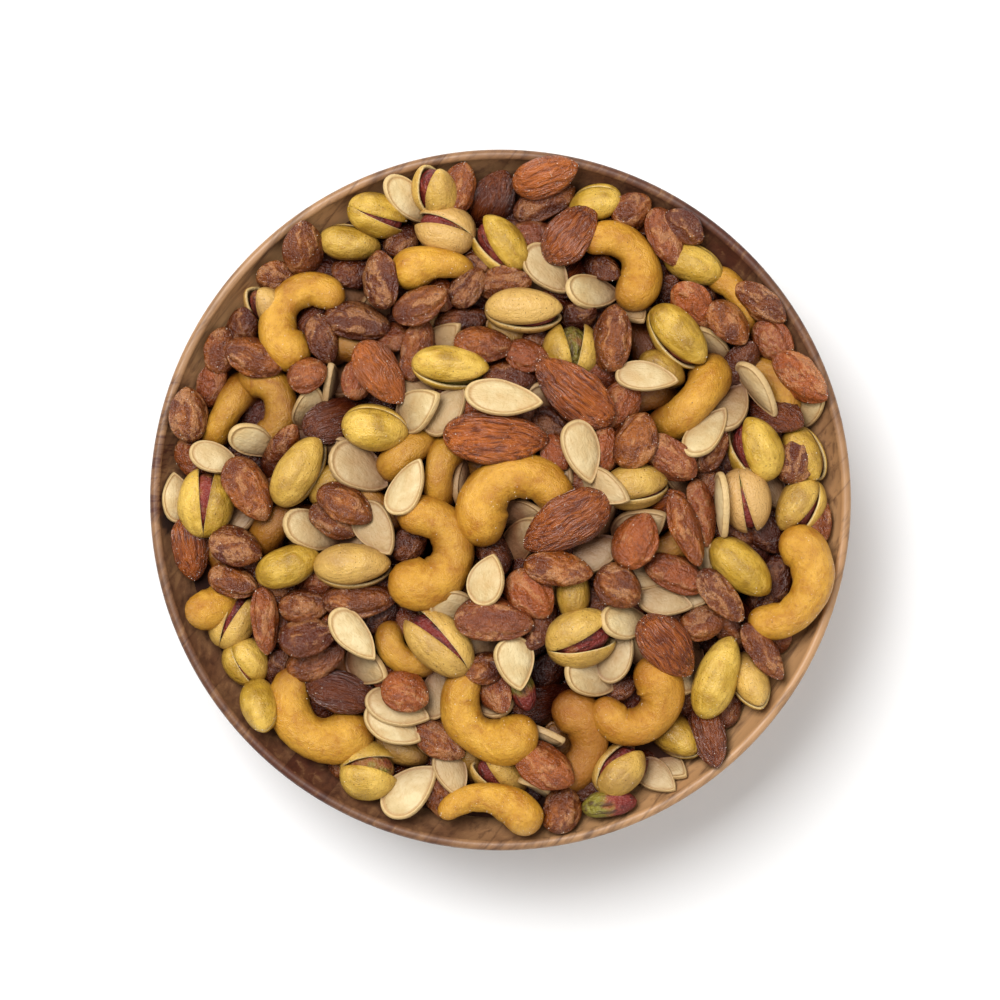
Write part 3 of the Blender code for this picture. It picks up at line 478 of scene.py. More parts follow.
def ways_to_lie(row, x, y):
    """Each lean and roll that a nut may take: its rotation, heights and cost."""
    for roll in row["rolls"]:
        for lean in LEANS:
            angles = (math.radians(roll), math.radians(lean), math.radians(row["turn"]))
            turn = np.array(Euler(angles, "XYZ").to_matrix())
            low, high = lowest_and_highest(x, y, row["middles"], row["halves"], turn)
            nested = lowest_and_highest(x, y, row["middles"] * NESTLE, row["halves"] * NESTLE, turn)
            yield turn, low, high, nested, LEAN_COST * abs(lean)


def settle_nut(row, line, floor, ceiling, depth):
    """Finds the lean and the small shift that bring one nut's top nearest to the mound."""
    reach = float(np.max(np.linalg.norm(row["middles"], axis=1) + row["halves"].max(axis=1)))
    across = cells_near(line, row["x"], reach)
    along = cells_near(line, row["y"], reach)
    x, y = np.meshgrid(line[across] - row["x"], line[along] - row["y"], indexing="ij")
    top = mound_height(math.hypot(row["x"], row["y"])) - depth
    best = None
    for turn, low, high, nested, lean_cost in ways_to_lie(row, x, y):
        wanted = top - float(high.max())
        for shift in SHIFTS:
            patch = np.ix_(across + shift[0], along + shift[1])
            least = float(np.max(floor[patch] - low))
            most = float(np.min(ceiling[patch] - nested[1]))
            height = max(min(wanted, most), least)
            cost = abs(wanted - height) + lean_cost + 2 * max(0.0, least - most)
            cost += SHIFT_COST * CELL * math.hypot(*shift)
            if best is None or cost < best[0]:
                best = (cost, height, turn, nested[0], patch, shift, least - most)
    _, height, turn, underside, patch, shift, squeeze = best
    if row["fill"] and squeeze > FILL_SQUEEZE:
        return False
    row["height"] = height
    row["rotation"] = turn
    row["x"] += shift[0] * CELL
    row["y"] += shift[1] * CELL
    ceiling[patch] = np.minimum(ceiling[patch], row["height"] + underside)
    return True


SETTLED = []


def settle_all():
    """Settles the whole heap, from the top layer down, and then fills the gaps that are left."""
    line, floor = height_map()
    ceiling = np.full(floor.shape, np.inf)
    chance = np.random.default_rng(UNEVENNESS_SEED)
    for row in listed_nuts():
        depth = (TOP_LAYER - row["layer"]) * LAYER_DROP + chance.uniform(0, UNEVENNESS)
        settle_nut(row, line, floor, ceiling, depth)
        SETTLED.append(row)
    chance = np.random.default_rng(FILL_SEED)
    tried = np.zeros(floor.shape, bool)
    x, y = np.meshgrid(line, line, indexing="ij")
    for _ in range(FILL_MOST):
        middle, turn, share = widest_gap(ceiling, tried, line)
        if share < GAP_SHARE:
            break
        tried |= np.hypot(x - middle[0], y - middle[1]) < GAP_TRIED
        turn += chance.uniform(-FILL_TURN, FILL_TURN)
        row = fill_nut(middle, turn, chance.uniform(*FILL_LAYERS), chance)
        if settle_nut(row, line, floor, ceiling, (TOP_LAYER - row["layer"]) * LAYER_DROP):
            SETTLED.append(row)


def settled_nuts(kind):
    """All nuts of a kind at rest."""
    if not SETTLED:
        settle_all()
    found = []
    for row in SETTLED:
        under = mound_height(math.hypot(row["x"], row["y"])) - row["height"]
        if row["kind"] == kind and under < SUNK_DEPTH:
            row["deep"] = int(under > DEEP)
            found.append(row)
    return found


# Mesh parts: a part is points, triangles and quads, with an own place, a look and a zone per point.

def capped_rings(sides, rings, turned_over=False):
    """Triangles and quads that join a first point, rings of points and a last point."""
    start = np.arange(sides) + 1
    following = np.roll(start, -1)
    end = (rings - 1) * sides
    tris = np.concatenate([np.stack([np.zeros(sides, int), following, start], 1),
                           np.stack([np.full(sides, 1 + rings * sides), start + end, following + end], 1)])
    quads = np.stack([start, following, following + sides, start + sides], 1)
    quads = np.concatenate([quads + ring * sides for ring in range(rings - 1)])
    if turned_over:
        return tris[:, (0, 2, 1)], quads[:, (0, 3, 2, 1)]
    return tris, quads


def ball(sides, rings):
    """A unit ball with its poles on X."""
    points = [(-1.0, 0.0, 0.0)]
    for ring in range(1, rings):
        along = -math.cos(math.pi * ring / rings)
        across = math.sin(math.pi * ring / rings)
        for side in range(sides):
            angle = 2 * math.pi * side / sides
            points.append((along, across * math.cos(angle), across * math.sin(angle)))
    points.append((1.0, 0.0, 0.0))
    return np.array(points), *capped_rings(sides, rings - 1)


def waves(points, chance, length, count=5):
    """Smooth uneven heights of about -1 to 1 over the points, from a few waves in random directions."""
    total = np.zeros(len(points))
    for _ in range(count):
        way = chance.normal(size=3)
        way *= 2 * math.pi / (length * chance.uniform(0.7, 1.4) * np.linalg.norm(way))
        total += np.sin(points @ way + chance.uniform(0, 2 * math.pi))
    return total / math.sqrt(count)


def cashew_girth(template, run, side, shape, chance, lumpiness):
    """Half the thickness at each point: a slim waist, round ends, lumps, a seam and pinches."""
    curl_radius, girth, curl, stout_end = shape
    arc = curl_radius * math.radians(curl)
    share = np.clip(run / arc, -1, 1)
    half = cashew_half(share, girth, stout_end)
    waist = chance.uniform(-0.2, 0.3) * np.sign(stout_end)
    half = half * (1.04 - chance.uniform(0.10, 0.17) * np.exp(-((share - waist) / 0.42) ** 2))
    to_tip = (arc + CASHEW_TIP * girth - np.abs(run)) / (1.25 * half)
    plump = half * np.sqrt(np.clip(1 - np.clip(1 - to_tip, 0, 1) ** 2, 0, 1)) * 1.03
    rough = template * np.array([arc, girth / 2, girth / 2])
    swell = 0.8 * waves(rough, chance, 11 * MM) + 0.5 * waves(rough, chance, 5 * MM)
    plump = plump * (1 + lumpiness * swell)
    plump = plump * (1 + 0.25 * lumpiness * folds(rough, chance, 4 * MM))
    seam = np.exp(-(side / 0.10) ** 2) + np.exp(-((np.abs(side) - math.pi) / 0.12) ** 2)
    plump = plump * (1 - 0.03 * seam)
    inner = np.clip(-np.cos(side), 0, 1)
    for place in (-0.62, 0.62):
        pinch = np.exp(-((share - place - chance.uniform(-0.12, 0.12)) / 0.10) ** 2)
        plump = plump * (1 - chance.uniform(0.03, 0.10) * pinch * inner)
    return plump


def cashew_points(template, shape, chance, lumpiness):
    """A plump curl, flatter on its inner side, with straight round ends."""
    curl_radius, girth, curl, _ = shape
    x = template[:, 0]
    side = np.arctan2(template[:, 2], template[:, 1])
    arc = curl_radius * math.radians(curl)
    end = arc + CASHEW_TIP * girth
    run = (0.65 * x + 0.35 * np.arcsin(np.clip(x, -1, 1)) * 2 / math.pi) * end
    plump = cashew_girth(template, run, side, shape, chance, lumpiness)
    belly = 1 - 0.10 * (np.cos(side) < 0)
    angle = math.pi / 2 - np.clip(run / arc, -1, 1) * math.radians(curl)
    beyond = np.sign(run) * np.clip(np.abs(run) - arc, 0, None)
    radius = curl_radius + plump * np.cos(side) * belly
    points = np.stack([radius * np.cos(angle) + beyond * np.sin(angle),
                       radius * np.sin(angle) - beyond * np.cos(angle) - cashew_middle(curl_radius, curl),
                       plump * np.sin(side) * 0.95], 1)
    own = np.stack([run, plump * np.cos(side), plump * np.sin(side)], 1)
    return points, own, 0.5 + 0.5 * run / end


def pointed(x, sharpness):
    """Half-width along an oval of unit length with a blunt end at -1 and a more pointed one at 1."""
    widest = (0.5 - sharpness) / (0.5 + sharpness)
    full = (1 + widest) ** 0.5 * (1 - widest) ** sharpness
    return np.clip(1 + x, 0, None) ** 0.5 * np.clip(1 - x, 0, None) ** sharpness / full


def folds(points, chance, length, count=5):
    """Creases that run mostly lengthwise, of about -1 to 1: sharp in the valleys, soft on the crests."""
    total = np.zeros(len(points))
    for _ in range(count):
        way = chance.normal(size=3) * (0.3, 1.0, 1.0)
        way *= math.pi / (length * chance.uniform(0.7, 1.5) * np.linalg.norm(way))
        total += 2 * np.abs(np.sin(points @ way + chance.uniform(0, 6.3))) ** 0.8 - 1.25
    return total / count**0.5


# How each kind of oval nut is formed: sharpness of the tip, size of its lumps, how many ridges run
# lengthwise and how deep, how keen its edge is, depth of its creases, and height of its edge line.
OVAL_SHAPES = {
    "almond": {"sharpness": 0.66, "lumpiness": 0.035, "ridges": (9, 13, 17, 22), "ridge_depth": 0.16 * MM,
               "keel": 1.1, "fold_depth": 0.09 * MM, "edge": 0.0},
    "kernel": {"sharpness": 0.62, "lumpiness": 0.06, "ridges": (2, 3, 5), "ridge_depth": 0.30 * MM,
               "keel": 1.15, "fold_depth": 0.10 * MM, "edge": 0.10},
    "inner": {"sharpness": 0.55, "lumpiness": 0.05, "ridges": (5, 8, 11), "ridge_depth": 0.22 * MM,
              "keel": 1.0, "fold_depth": 0.05 * MM, "edge": 0.0},
}


def oval_points(template, halves, chance, shape):
    """A pointed oval of one of the OVAL_SHAPES."""
    x = template[:, 0]
    side = np.arctan2(template[:, 2], template[:, 1])
    rough = template * halves
    ridge = np.zeros(len(x))
    for count in shape["ridges"]:
        drift = 0.5 * np.sin(2.2 * x + chance.uniform(0, 6.3))
        ridge += np.cos(count * side + chance.uniform(0, 6.3) + drift) * chance.uniform(0.5, 1.0)
    relief = ridge * shape["ridge_depth"] / len(shape["ridges"])**0.5
    relief += folds(rough, chance, 2.6 * MM) * shape["fold_depth"]
    swell = 0.7 * waves(rough, chance, 9 * MM) + 0.4 * waves(rough, chance, 4.5 * MM)
    rise = np.abs(np.sin(side))
    line = np.exp(-(rise / 0.16) ** 2) - 0.7 * np.exp(-((rise - 0.42) / 0.15) ** 2)
    width = pointed(x, shape["sharpness"]) * (1 + shape["lumpiness"] * swell + shape["edge"] * line)
    width = width + relief / halves[1] * np.clip(1.2 - x**2, 0, 1)
    bend = chance.uniform(-0.05, 0.05) * halves[0]
    thick = np.sign(np.sin(side)) * rise ** shape["keel"]
    points = np.stack([x * halves[0], width * np.cos(side) * halves[1] + bend * (x**2 - 0.4),
                       width * thick * halves[2]], 1)
    return points, points, 0.5 + 0.5 * x


SEED_RINGS = ((0.0, 1.0), (0.2, 0.98), (0.4, 0.93), (0.56, 0.85), (0.70, 0.74), (0.80, 0.60), (0.855, 0.48),
              (0.90, 0.52), (0.935, 0.62), (0.965, 0.55), (0.99, 0.30))


def seed_template(sides):
    """A disc with two faces: rings out from the middle of the top, over the edge and in below."""
    rings = [*SEED_RINGS[1:], (1.0, 0.0)]
    rings += [(reach, -rise) for reach, rise in reversed(SEED_RINGS[1:])]
    angles = 2 * math.pi * np.arange(sides) / sides
    params = [np.array([[0.0, 0.0, 1.0]])]
    for reach, rise in rings:
        params.append(np.stack([np.full(sides, reach), angles, np.full(sides, rise)], 1))
    params.append(np.array([[0.0, 0.0, -1.0]]))
    return np.concatenate(params), *capped_rings(sides, len(rings), turned_over=True)


def seed_points(params, halves, chance, border):
    """A flat seed, pointed at one end, with a raised border and a shallow groove inside it."""
    reach, angle, rise = params.T
    x = np.cos(angle)
    side = pointed(x, 0.78) * np.sign(np.sin(angle)) * (np.abs(np.sin(angle)) > 1e-6)
    rim = np.clip((reach - 0.86) / 0.06, 0, 1) * np.clip((1.0 - reach) / 0.04, 0, 1)
    height = rise * halves[2] + np.sign(rise) * rim * border
    flat = np.stack([x * reach * halves[0], side * reach * halves[1], np.zeros(len(x))], 1)
    warp = chance.uniform(-0.9, 0.9) * MM * (flat[:, 0] / halves[0]) ** 2
    warp += chance.uniform(-0.5, 0.5) * MM * (flat[:, 1] / halves[1]) ** 2
    dents = 0.10 * MM * waves(flat, chance, 6 * MM) * np.clip(1.1 - reach, 0, 1)
    edge = 1 + 0.018 * waves(flat, chance, 7 * MM)
    points = np.stack([flat[:, 0] * edge, flat[:, 1] * edge, height + warp + dents], 1)
    return points, points, reach


def shell_template(sides, rings):
    """Half a shell with thickness: place along, angle round and depth (0 outside to 1 inside)."""
    inner = max(4, sides // 2)
    loop = [(a, 0.0) for a in np.linspace(-0.5, 0.5, sides + 1) * math.pi]
    loop += [(0.5 * math.pi, 0.5)]
    loop += [(a, 1.0) for a in np.linspace(0.5, -0.5, inner + 1) * math.pi]
    loop += [(-0.5 * math.pi, 0.5)]
    count = len(loop)
    params = [(-1.0, 0.0, 0.0), (-1.0, 0.0, 1.0)]
    for ring in range(1, rings):
        along = -math.cos(math.pi * ring / rings)
        params += [(along, angle, depth) for angle, depth in loop]
    params += [(1.0, 0.0, 0.0), (1.0, 0.0, 1.0)]
    tris = []
    quads = []
    first_rim = sides + 1
    second_rim = count - 1
    for i in range(count):
        j = (i + 1) % count
        inside = int(first_rim <= i < second_rim)
        tris.append((inside, 2 + j, 2 + i))
        end = 2 + (rings - 2) * count
        pole = 2 + (rings - 1) * count + inside
        tris.append((pole, end + i, end + j))
        for r in range(rings - 2):
            base = 2 + r * count
            quads.append((base + i, base + j, base + count + j, base + count + i))
    end = 2 + (rings - 2) * count
    pole = 2 + (rings - 1) * count
    tris += [(2 + first_rim, 0, 1), (2 + second_rim, 1, 0)]
    tris += [(end + first_rim, pole + 1, pole), (end + second_rim, pole, pole + 1)]
    return np.array(params), np.array(tris), np.array(quads)


def shell_points(params, halves, chance, half, gape, thickness):
    """One half shell, hinged open at the stem. half is 1 for the +Y half and -1 for the other."""
    along, angle, depth = params.T
    width = pointed(along, 0.60)
    rib = 0.007 * np.cos(9 * angle + chance.uniform(0, 6)) + 0.005 * np.cos(17 * angle + chance.uniform(0, 6))
    section = np.stack([along, width * np.cos(angle), width * np.sin(angle)], 1)
    swell = 1 + 0.022 * waves(section * halves, chance, 9 * MM) + rib * (depth == 0)
    points = section * (halves - (depth * thickness)[:, None])
    points[:, 1:] *= swell[:, None]
    points[:, 1] += np.where((depth > 0) & (depth < 1), -0.18 * thickness, 0.0)
    own = points * (1, half, half)
    turn = half * math.radians(gape) / 2
    x = own[:, 0] + halves[0]
    y = own[:, 1]
    points = np.stack([x * math.cos(turn) - y * math.sin(turn) - halves[0],
                       x * math.sin(turn) + y * math.cos(turn), own[:, 2]], 1)
    return points, own, depth


def rolled(rotation, degrees):
    return rotation @ np.array(Euler((math.radians(degrees), 0, 0)).to_matrix())


class Heap:
    """Collects the parts of one piece and makes them one mesh."""

    def __init__(self):
        self.points, self.tris, self.quads = [], [], []
        self.own, self.look, self.zone, self.depth = [], [], [], []
        self.count = 0

    def add(self, points, tris, quads, own, look, zone, rotation, place):
        points = points @ rotation.T + place
        under = mound_height(np.hypot(points[:, 0], points[:, 1])) - points[:, 2]
        self.points.append(points)
        self.depth.append(under / CM)
        self.tris.append(tris + self.count)
        self.quads.append(quads + self.count)
        self.own.append(own / CM)
        self.look.append(np.tile(look, (len(points), 1)))
        self.zone.append(zone)
        self.count += len(points)

    def piece(self, name, material):
        """The joined mesh as an object, with the attributes that its material reads."""
        mesh = bpy.data.meshes.new(name)
        faces = np.concatenate(self.tris).tolist() + np.concatenate(self.quads).tolist()
        mesh.from_pydata(np.concatenate(self.points), [], faces)
        for label, values in (("own", self.own), ("look", self.look)):
            attribute = mesh.attributes.new(label, "FLOAT_VECTOR", "POINT")
            attribute.data.foreach_set("vector", np.concatenate(values).astype(np.float32).ravel())
        for label, values in (("zone", self.zone), ("depth", self.depth)):
            attribute = mesh.attributes.new(label, "FLOAT", "POINT")
            attribute.data.foreach_set("value", np.concatenate(values).astype(np.float32))
        mesh.shade_smooth()
        return new_piece(name, mesh, material)


def new_object(name, data):
    thing = bpy.data.objects.new(name, data)
    bpy.context.scene.collection.objects.link(thing)
    return thing


def new_piece(name, mesh, material):
    mesh.materials.append(material)
    return new_object(name, mesh)


def into_frame(thing, node):
    """Rides the frame and stands for its CAD node, which it hides."""
    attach(thing, "root")
    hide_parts(node)


def place_of(row):
    return np.array([row["x"], row["y"], row["height"]])


# Shader nodes

def add(tree, kind, values=None, **settings):
    """A node with its settings. A value that is a socket is linked to the input, any other is set."""
    made = tree.nodes.new(kind)
    for key, value in settings.items():
        setattr(made, key, value)
    for key, value in (values or {}).items():
        set_input(tree, made.inputs[key], value)
    return made


def set_input(tree, socket, value):
    if isinstance(value, bpy.types.NodeSocket):
        tree.links.new(value, socket)
    else:
        socket.default_value = value


def ramp(tree, factor, *stops):
    """A colour ramp over (place, colour) stops."""
    made = add(tree, "ShaderNodeValToRGB", {"Fac": factor})
    elements = made.color_ramp.elements
    while len(elements) < len(stops):
        elements.new(0.5)
    for element, (place, colour) in zip(elements, stops):
        element.position = place
        element.color = (*colour, 1.0)
    return made.outputs["Color"]


def blend(tree, factor, first, second):
    """One colour mixed into another."""
    first, second = ((*value, 1.0) if isinstance(value, tuple) else value for value in (first, second))
    return add(tree, "ShaderNodeMix", {0: factor, 6: first, 7: second}, data_type="RGBA").outputs[2]


def band(tree, value, low, high, start=0.0, end=1.0):
    """A value brought from the range low to high into start to end, and held there."""
    made = add(tree, "ShaderNodeMapRange", {"Value": value, "From Min": low, "From Max": high,
                                            "To Min": start, "To Max": end})
    return made.outputs["Result"]


def maths(tree, operation, first, second=0.5):
    return add(tree, "ShaderNodeMath", {0: first, 1: second}, operation=operation).outputs[0]


def vector_maths(tree, operation, first, second=(0.0, 0.0, 0.0), output="Vector"):
    made = add(tree, "ShaderNodeVectorMath", {0: first, 1: second}, operation=operation)
    return made.outputs[output]


def weighted(tree, *terms):
    """The sum of (value, weight) terms."""
    total = None
    for value, weight in terms:
        term = value if weight == 1 else maths(tree, "MULTIPLY", value, weight)
        total = term if total is None else maths(tree, "ADD", total, term)
    return total


def noise(tree, place, scale, detail=3.0, roughness=0.5, distortion=0.0):
    made = add(tree, "ShaderNodeTexNoise", {"Vector": place, "Scale": scale, "Detail": detail,
                                            "Roughness": roughness, "Distortion": distortion})
    return made.outputs["Fac"]


def lot(tree, number):
    """A random value for each whole number."""
    return add(tree, "ShaderNodeTexWhiteNoise", {"W": number}, noise_dimensions="1D").outputs["Value"]


def new_group(name, inputs, outputs):
    """An empty node group: (name, socket kind, default) inputs and (name, socket kind) outputs."""
    group = bpy.data.node_groups.new(name, "ShaderNodeTree")
    for label, kind, default in inputs:
        socket = group.interface.new_socket(name=label, in_out="INPUT", socket_type=kind)
        if default is not None:
            socket.default_value = default
    for label, kind in outputs:
        group.interface.new_socket(name=label, in_out="OUTPUT", socket_type=kind)
    return group, group.nodes.new("NodeGroupInput").outputs, group.nodes.new("NodeGroupOutput").inputs


def own_place_group():
    """Where a point is on its own nut, moved for each nut so that no two have the same patterns, and
    that nut's look: chance, tone and special."""
    group, _, out = new_group("own_place", (), (
        ("Place", "NodeSocketVector"), ("Chance", "NodeSocketFloat"), ("Tone", "NodeSocketFloat"),
        ("Special", "NodeSocketFloat"), ("Zone", "NodeSocketFloat"), ("Depth", "NodeSocketFloat")))
    own, look, zone, depth = (add(group, "ShaderNodeAttribute", attribute_name=name).outputs
                              for name in ("own", "look", "zone", "depth"))
    chance, tone, special = add(group, "ShaderNodeSeparateXYZ", {"Vector": look["Vector"]}).outputs
    place = vector_maths(group, "ADD", own["Vector"], maths(group, "MULTIPLY", chance, 73.0))
    for label, socket in (("Place", place), ("Chance", chance), ("Tone", tone), ("Special", special),
                          ("Zone", zone["Fac"]), ("Depth", depth["Fac"])):
        group.links.new(socket, out[label])
    return group


def lengthwise_group():
    """Streaks that run along a nut, drawn out along its own X."""
    group, given, out = new_group("lengthwise_streaks", (
        ("Place", "NodeSocketVector", None), ("Scale", "NodeSocketFloat", 9.0),
        ("Stretch", "NodeSocketFloat", 0.14), ("Waver", "NodeSocketFloat", 0.25)),
        (("Streaks", "NodeSocketFloat"), ("Fine", "NodeSocketFloat")))
    waver = add(group, "ShaderNodeTexNoise", {"Vector": given["Place"], "Scale": 1.6, "Detail": 1.0})
    centred = vector_maths(group, "SUBTRACT", waver.outputs["Color"], (0.5, 0.5, 0.5))
    amount = vector_maths(group, "MULTIPLY", centred, given["Waver"])
    moved = vector_maths(group, "ADD", given["Place"], amount)
    long = add(group, "ShaderNodeCombineXYZ", {"X": given["Stretch"], "Y": 1.0, "Z": 1.0}).outputs[0]
    drawn = vector_maths(group, "MULTIPLY", moved, long)
    group.links.new(noise(group, drawn, given["Scale"], 2.0, 0.5), out["Streaks"])
    fine = maths(group, "MULTIPLY", given["Scale"], 3.1)
    group.links.new(noise(group, drawn, fine, 2.0, 0.6), out["Fine"])
    return group


def specks_group():
    """Small round specks scattered over a nut, some cells left empty."""
    group, given, out = new_group("specks", (
        ("Place", "NodeSocketVector", None), ("Scale", "NodeSocketFloat", 14.0),
        ("Size", "NodeSocketFloat", 0.16), ("Share", "NodeSocketFloat", 0.25)),
        (("Mask", "NodeSocketFloat"),))
    cells = add(group, "ShaderNodeTexVoronoi", {"Vector": given["Place"], "Scale": given["Scale"]})
    lots = add(group, "ShaderNodeSeparateColor", {"Color": cells.outputs["Color"]}).outputs["Red"]
    chosen = maths(group, "LESS_THAN", lots, given["Share"])
    near = maths(group, "LESS_THAN", cells.outputs["Distance"], given["Size"])
    group.links.new(maths(group, "MULTIPLY", chosen, near), out["Mask"])
    return group


def mottle_group():
    """Cloudy patches at three scales, as on roasted skin."""
    group, given, out = new_group("mottle", (
        ("Place", "NodeSocketVector", None), ("Scale", "NodeSocketFloat", 2.0)),
        (("Broad", "NodeSocketFloat"), ("Small", "NodeSocketFloat"), ("Grain", "NodeSocketFloat")))
    for label, finer, form in (("Broad", 1.0, (2.0, 0.5, 0.4)), ("Small", 4.2, (3.0, 0.6)),
                               ("Grain", 17.0, (2.0, 0.6))):
        scale = maths(group, "MULTIPLY", given["Scale"], finer)
        group.links.new(noise(group, given["Place"], scale, *form), out[label])
    return group


def shared(name):
    """A shared node group, built when it is first asked for."""
    builders = {"own_place": own_place_group, "lengthwise_streaks": lengthwise_group,
                "specks": specks_group, "mottle": mottle_group}
    return bpy.data.node_groups.get(name) or builders[name]()


def new_material(name):
    """A material with a Principled shader, and its tree."""
    material = bpy.data.materials.new(name)
    material.use_nodes = True
    return material, material.node_tree, material.node_tree.nodes["Principled BSDF"]


def bump(tree, shader, height, strength, distance):
    made = add(tree, "ShaderNodeBump", {"Height": height, "Strength": strength, "Distance": distance})
    tree.links.new(made.outputs["Normal"], shader.inputs["Normal"])


def colour_of(value):
    return tuple(value)[:3]


def times(colour, red, green, blue):
    """A colour with each channel multiplied."""
    return tuple(min(1.0, channel * factor) for channel, factor in zip(colour, (red, green, blue)))


def blend_of(first, second, share):
    return tuple(a + (b - a) * share for a, b in zip(first, second))


class Skin:
    """A nut's material in the making. skin["Zone"] is one of the values that its groups give."""

    def __init__(self, name, mottle_scale, **streaks):
        self.material, self.tree, self.shader = new_material(name)
        self.values = {}
        self.colour = None
        self.read("own_place")
        self.read("mottle", Place=self["Place"], Scale=mottle_scale)
        if streaks:
            self.read("lengthwise_streaks", Place=self["Place"], **streaks)

    def __getitem__(self, label):
        return self.values[label]

    def read(self, name, **values):
        """Puts a shared group in and keeps what it gives."""
        made = add(self.tree, "ShaderNodeGroup", values, node_tree=shared(name))
        self.values.update((socket.name, socket) for socket in made.outputs)

    def band(self, label, *span):
        return band(self.tree, self[label], *span)

    def start(self, value, *stops):
        self.colour = ramp(self.tree, value, *stops)

    def mix(self, factor, colour):
        self.colour = blend(self.tree, factor, self.colour, colour)

    def tint(self, label, none_at, full_at, most, colour):
        """Mixes a colour in where a value passes from none_at to full_at."""
        self.mix(self.band(label, none_at, full_at, 0.0, most), colour)

    def specks(self, scale, size, share, most, colour):
        """Mixes small specks of a colour in."""
        self.read("specks", Place=self["Place"], Scale=scale, Size=size, Share=share)
        self.mix(maths(self.tree, "MULTIPLY", self["Mask"], most), colour)

    def finish(self, roughness, relief, strength, distance):
        """Paints shade on what lies deep, and sets the roughness and a bump from (label, weight) terms."""
        # Painted shade: the colour darkens from 2 mm to 10 mm under the mound.
        deep = self.band("Depth", 0.2, 1.0)
        shaded = add(self.tree, "ShaderNodeMix", {0: deep, 6: self.colour, 7: DEEP_SHADE_TINT},
                     data_type="RGBA", blend_type="MULTIPLY").outputs[2]
        self.tree.links.new(shaded, self.shader.inputs["Base Color"])
        set_input(self.tree, self.shader.inputs["Roughness"], roughness)
        height = weighted(self.tree, *((self[label], weight) for label, weight in relief))
        bump(self.tree, self.shader, height, strength, distance)
        return self.material


def cashew_material(settings):
    skin = Skin("roasted_cashew", 2.2)
    base = colour_of(settings.cashew_colour)
    pale = times(base, 1.26, 1.40, 2.0)
    deep = times(base, 0.70, 0.52, 0.32)
    skin.start(skin["Broad"], (0.22, deep), (0.44, base), (0.70, pale))
    skin.tint("Small", 0.52, 0.72, 0.5, deep)
    skin.tint("Small", 0.44, 0.30, 0.5, pale)
    from_middle = maths(skin.tree, "ABSOLUTE", maths(skin.tree, "SUBTRACT", skin["Zone"], 0.5))
    skin.mix(band(skin.tree, from_middle, 0.38, 0.5, 0.0, 0.5), deep)
    skin.tint("Tone", 0.0, 1.0, 0.6, srgb(172, 98, 28))
    for speck in ((6.0, 0.09, 0.12, 0.9), (13.0, 0.15, 0.16, 0.55), (24.0, 0.22, 0.2, 0.4)):
        skin.specks(*speck, srgb(104, 58, 20))
    return skin.finish(skin.band("Small", 0.3, 0.7, 0.26, 0.42), (("Small", 1), ("Grain", 0.6)), 0.6, 0.0008)


def shell_material(settings):
    skin = Skin("pistachio_shell", 1.5, Scale=7.0, Stretch=0.2)
    base = colour_of(settings.shell_colour)
    pale = times(base, 1.42, 1.55, 2.9)
    olive = times(base, 0.60, 0.54, 0.40)
    varied = maths(skin.tree, "ADD", skin["Broad"], skin.band("Chance", 0.0, 1.0, -0.12, 0.12))
    skin.start(varied, (0.28, olive), (0.46, base), (0.66, pale))
    skin.tint("Streaks", 0.52, 0.72, 0.45, olive)
    skin.tint("Streaks", 0.46, 0.32, 0.45, pale)
    skin.tint("Small", 0.55, 0.72, 0.45, srgb(176, 122, 44))
    skin.tint("Tone", 0.0, 1.0, 1.0, srgb(204, 160, 98))
    for speck in ((9.0, 0.15, 0.22, 0.8), (19.0, 0.24, 0.30, 0.6)):
        skin.specks(*speck, srgb(96, 64, 26))
    skin.tint("Zone", 0.02, 0.3, 1.0, srgb(226, 200, 138))
    relief = (("Streaks", 0.8), ("Small", 1), ("Grain", 0.6))
    return skin.finish(skin.band("Small", 0.3, 0.7, 0.28, 0.46), relief, 0.7, 0.0006)


def inner_kernel_material(settings):
    skin = Skin("pistachio_kernel", 2.4, Scale=8.0)
    lengthwise = maths(skin.tree, "MULTIPLY", skin.band("Zone", 0.2, 0.8, -0.5, 0.5), skin["Tone"])
    red = weighted(skin.tree, (skin.band("Broad", 0.3, 0.7, -0.35, 0.35), 1), (skin["Special"], 1),
                   (lengthwise, 1))
    skin.start(red, (0.15, srgb(134, 122, 40)), (0.45, srgb(150, 98, 44)),
               (0.7, colour_of(settings.inner_kernel_colour)), (1.0, srgb(122, 38, 30)))
    skin.tint("Streaks", 0.5, 0.66, 0.75, srgb(58, 18, 16))
    skin.specks(22.0, 0.2, 0.12, 0.7, srgb(225, 190, 170))
    return skin.finish(0.42, (("Streaks", 1), ("Small", 1)), 0.9, 0.0010)


def almond_material(settings):
    skin = Skin("almond_skin", 1.2, Scale=13.0, Stretch=0.09, Waver=0.2)
    base = colour_of(settings.almond_colour)
    pale = times(base, 1.85, 2.15, 1.9)
    dark = times(base, 0.38, 0.26, 0.30)
    skin.start(skin["Broad"], (0.30, dark), (0.48, base), (0.7, times(base, 1.25, 1.25, 1.25)))
    # The skin's own streaks, paler on the crests of the ridges and darker in the valleys, with painted
    # highlight on the crests and painted shade in the valleys.
    skin.tint("Streaks", 0.52, 0.64, 0.6, pale)
    skin.tint("Streaks", 0.47, 0.36, 0.8, dark)
    skin.tint("Fine", 0.56, 0.70, 0.45, pale)
    skin.tint("Tone", 0.0, 1.0, 0.75, srgb(78, 30, 16))
    skin.tint("Tone", -0.3, -1.0, 0.5, srgb(186, 102, 42))
    skin.shader.inputs["Specular IOR Level"].default_value = 0.65
    return skin.finish(skin.band("Fine", 0.3, 0.7, 0.18, 0.34), (("Streaks", 1), ("Fine", 0.5)), 1.0, 0.0011)


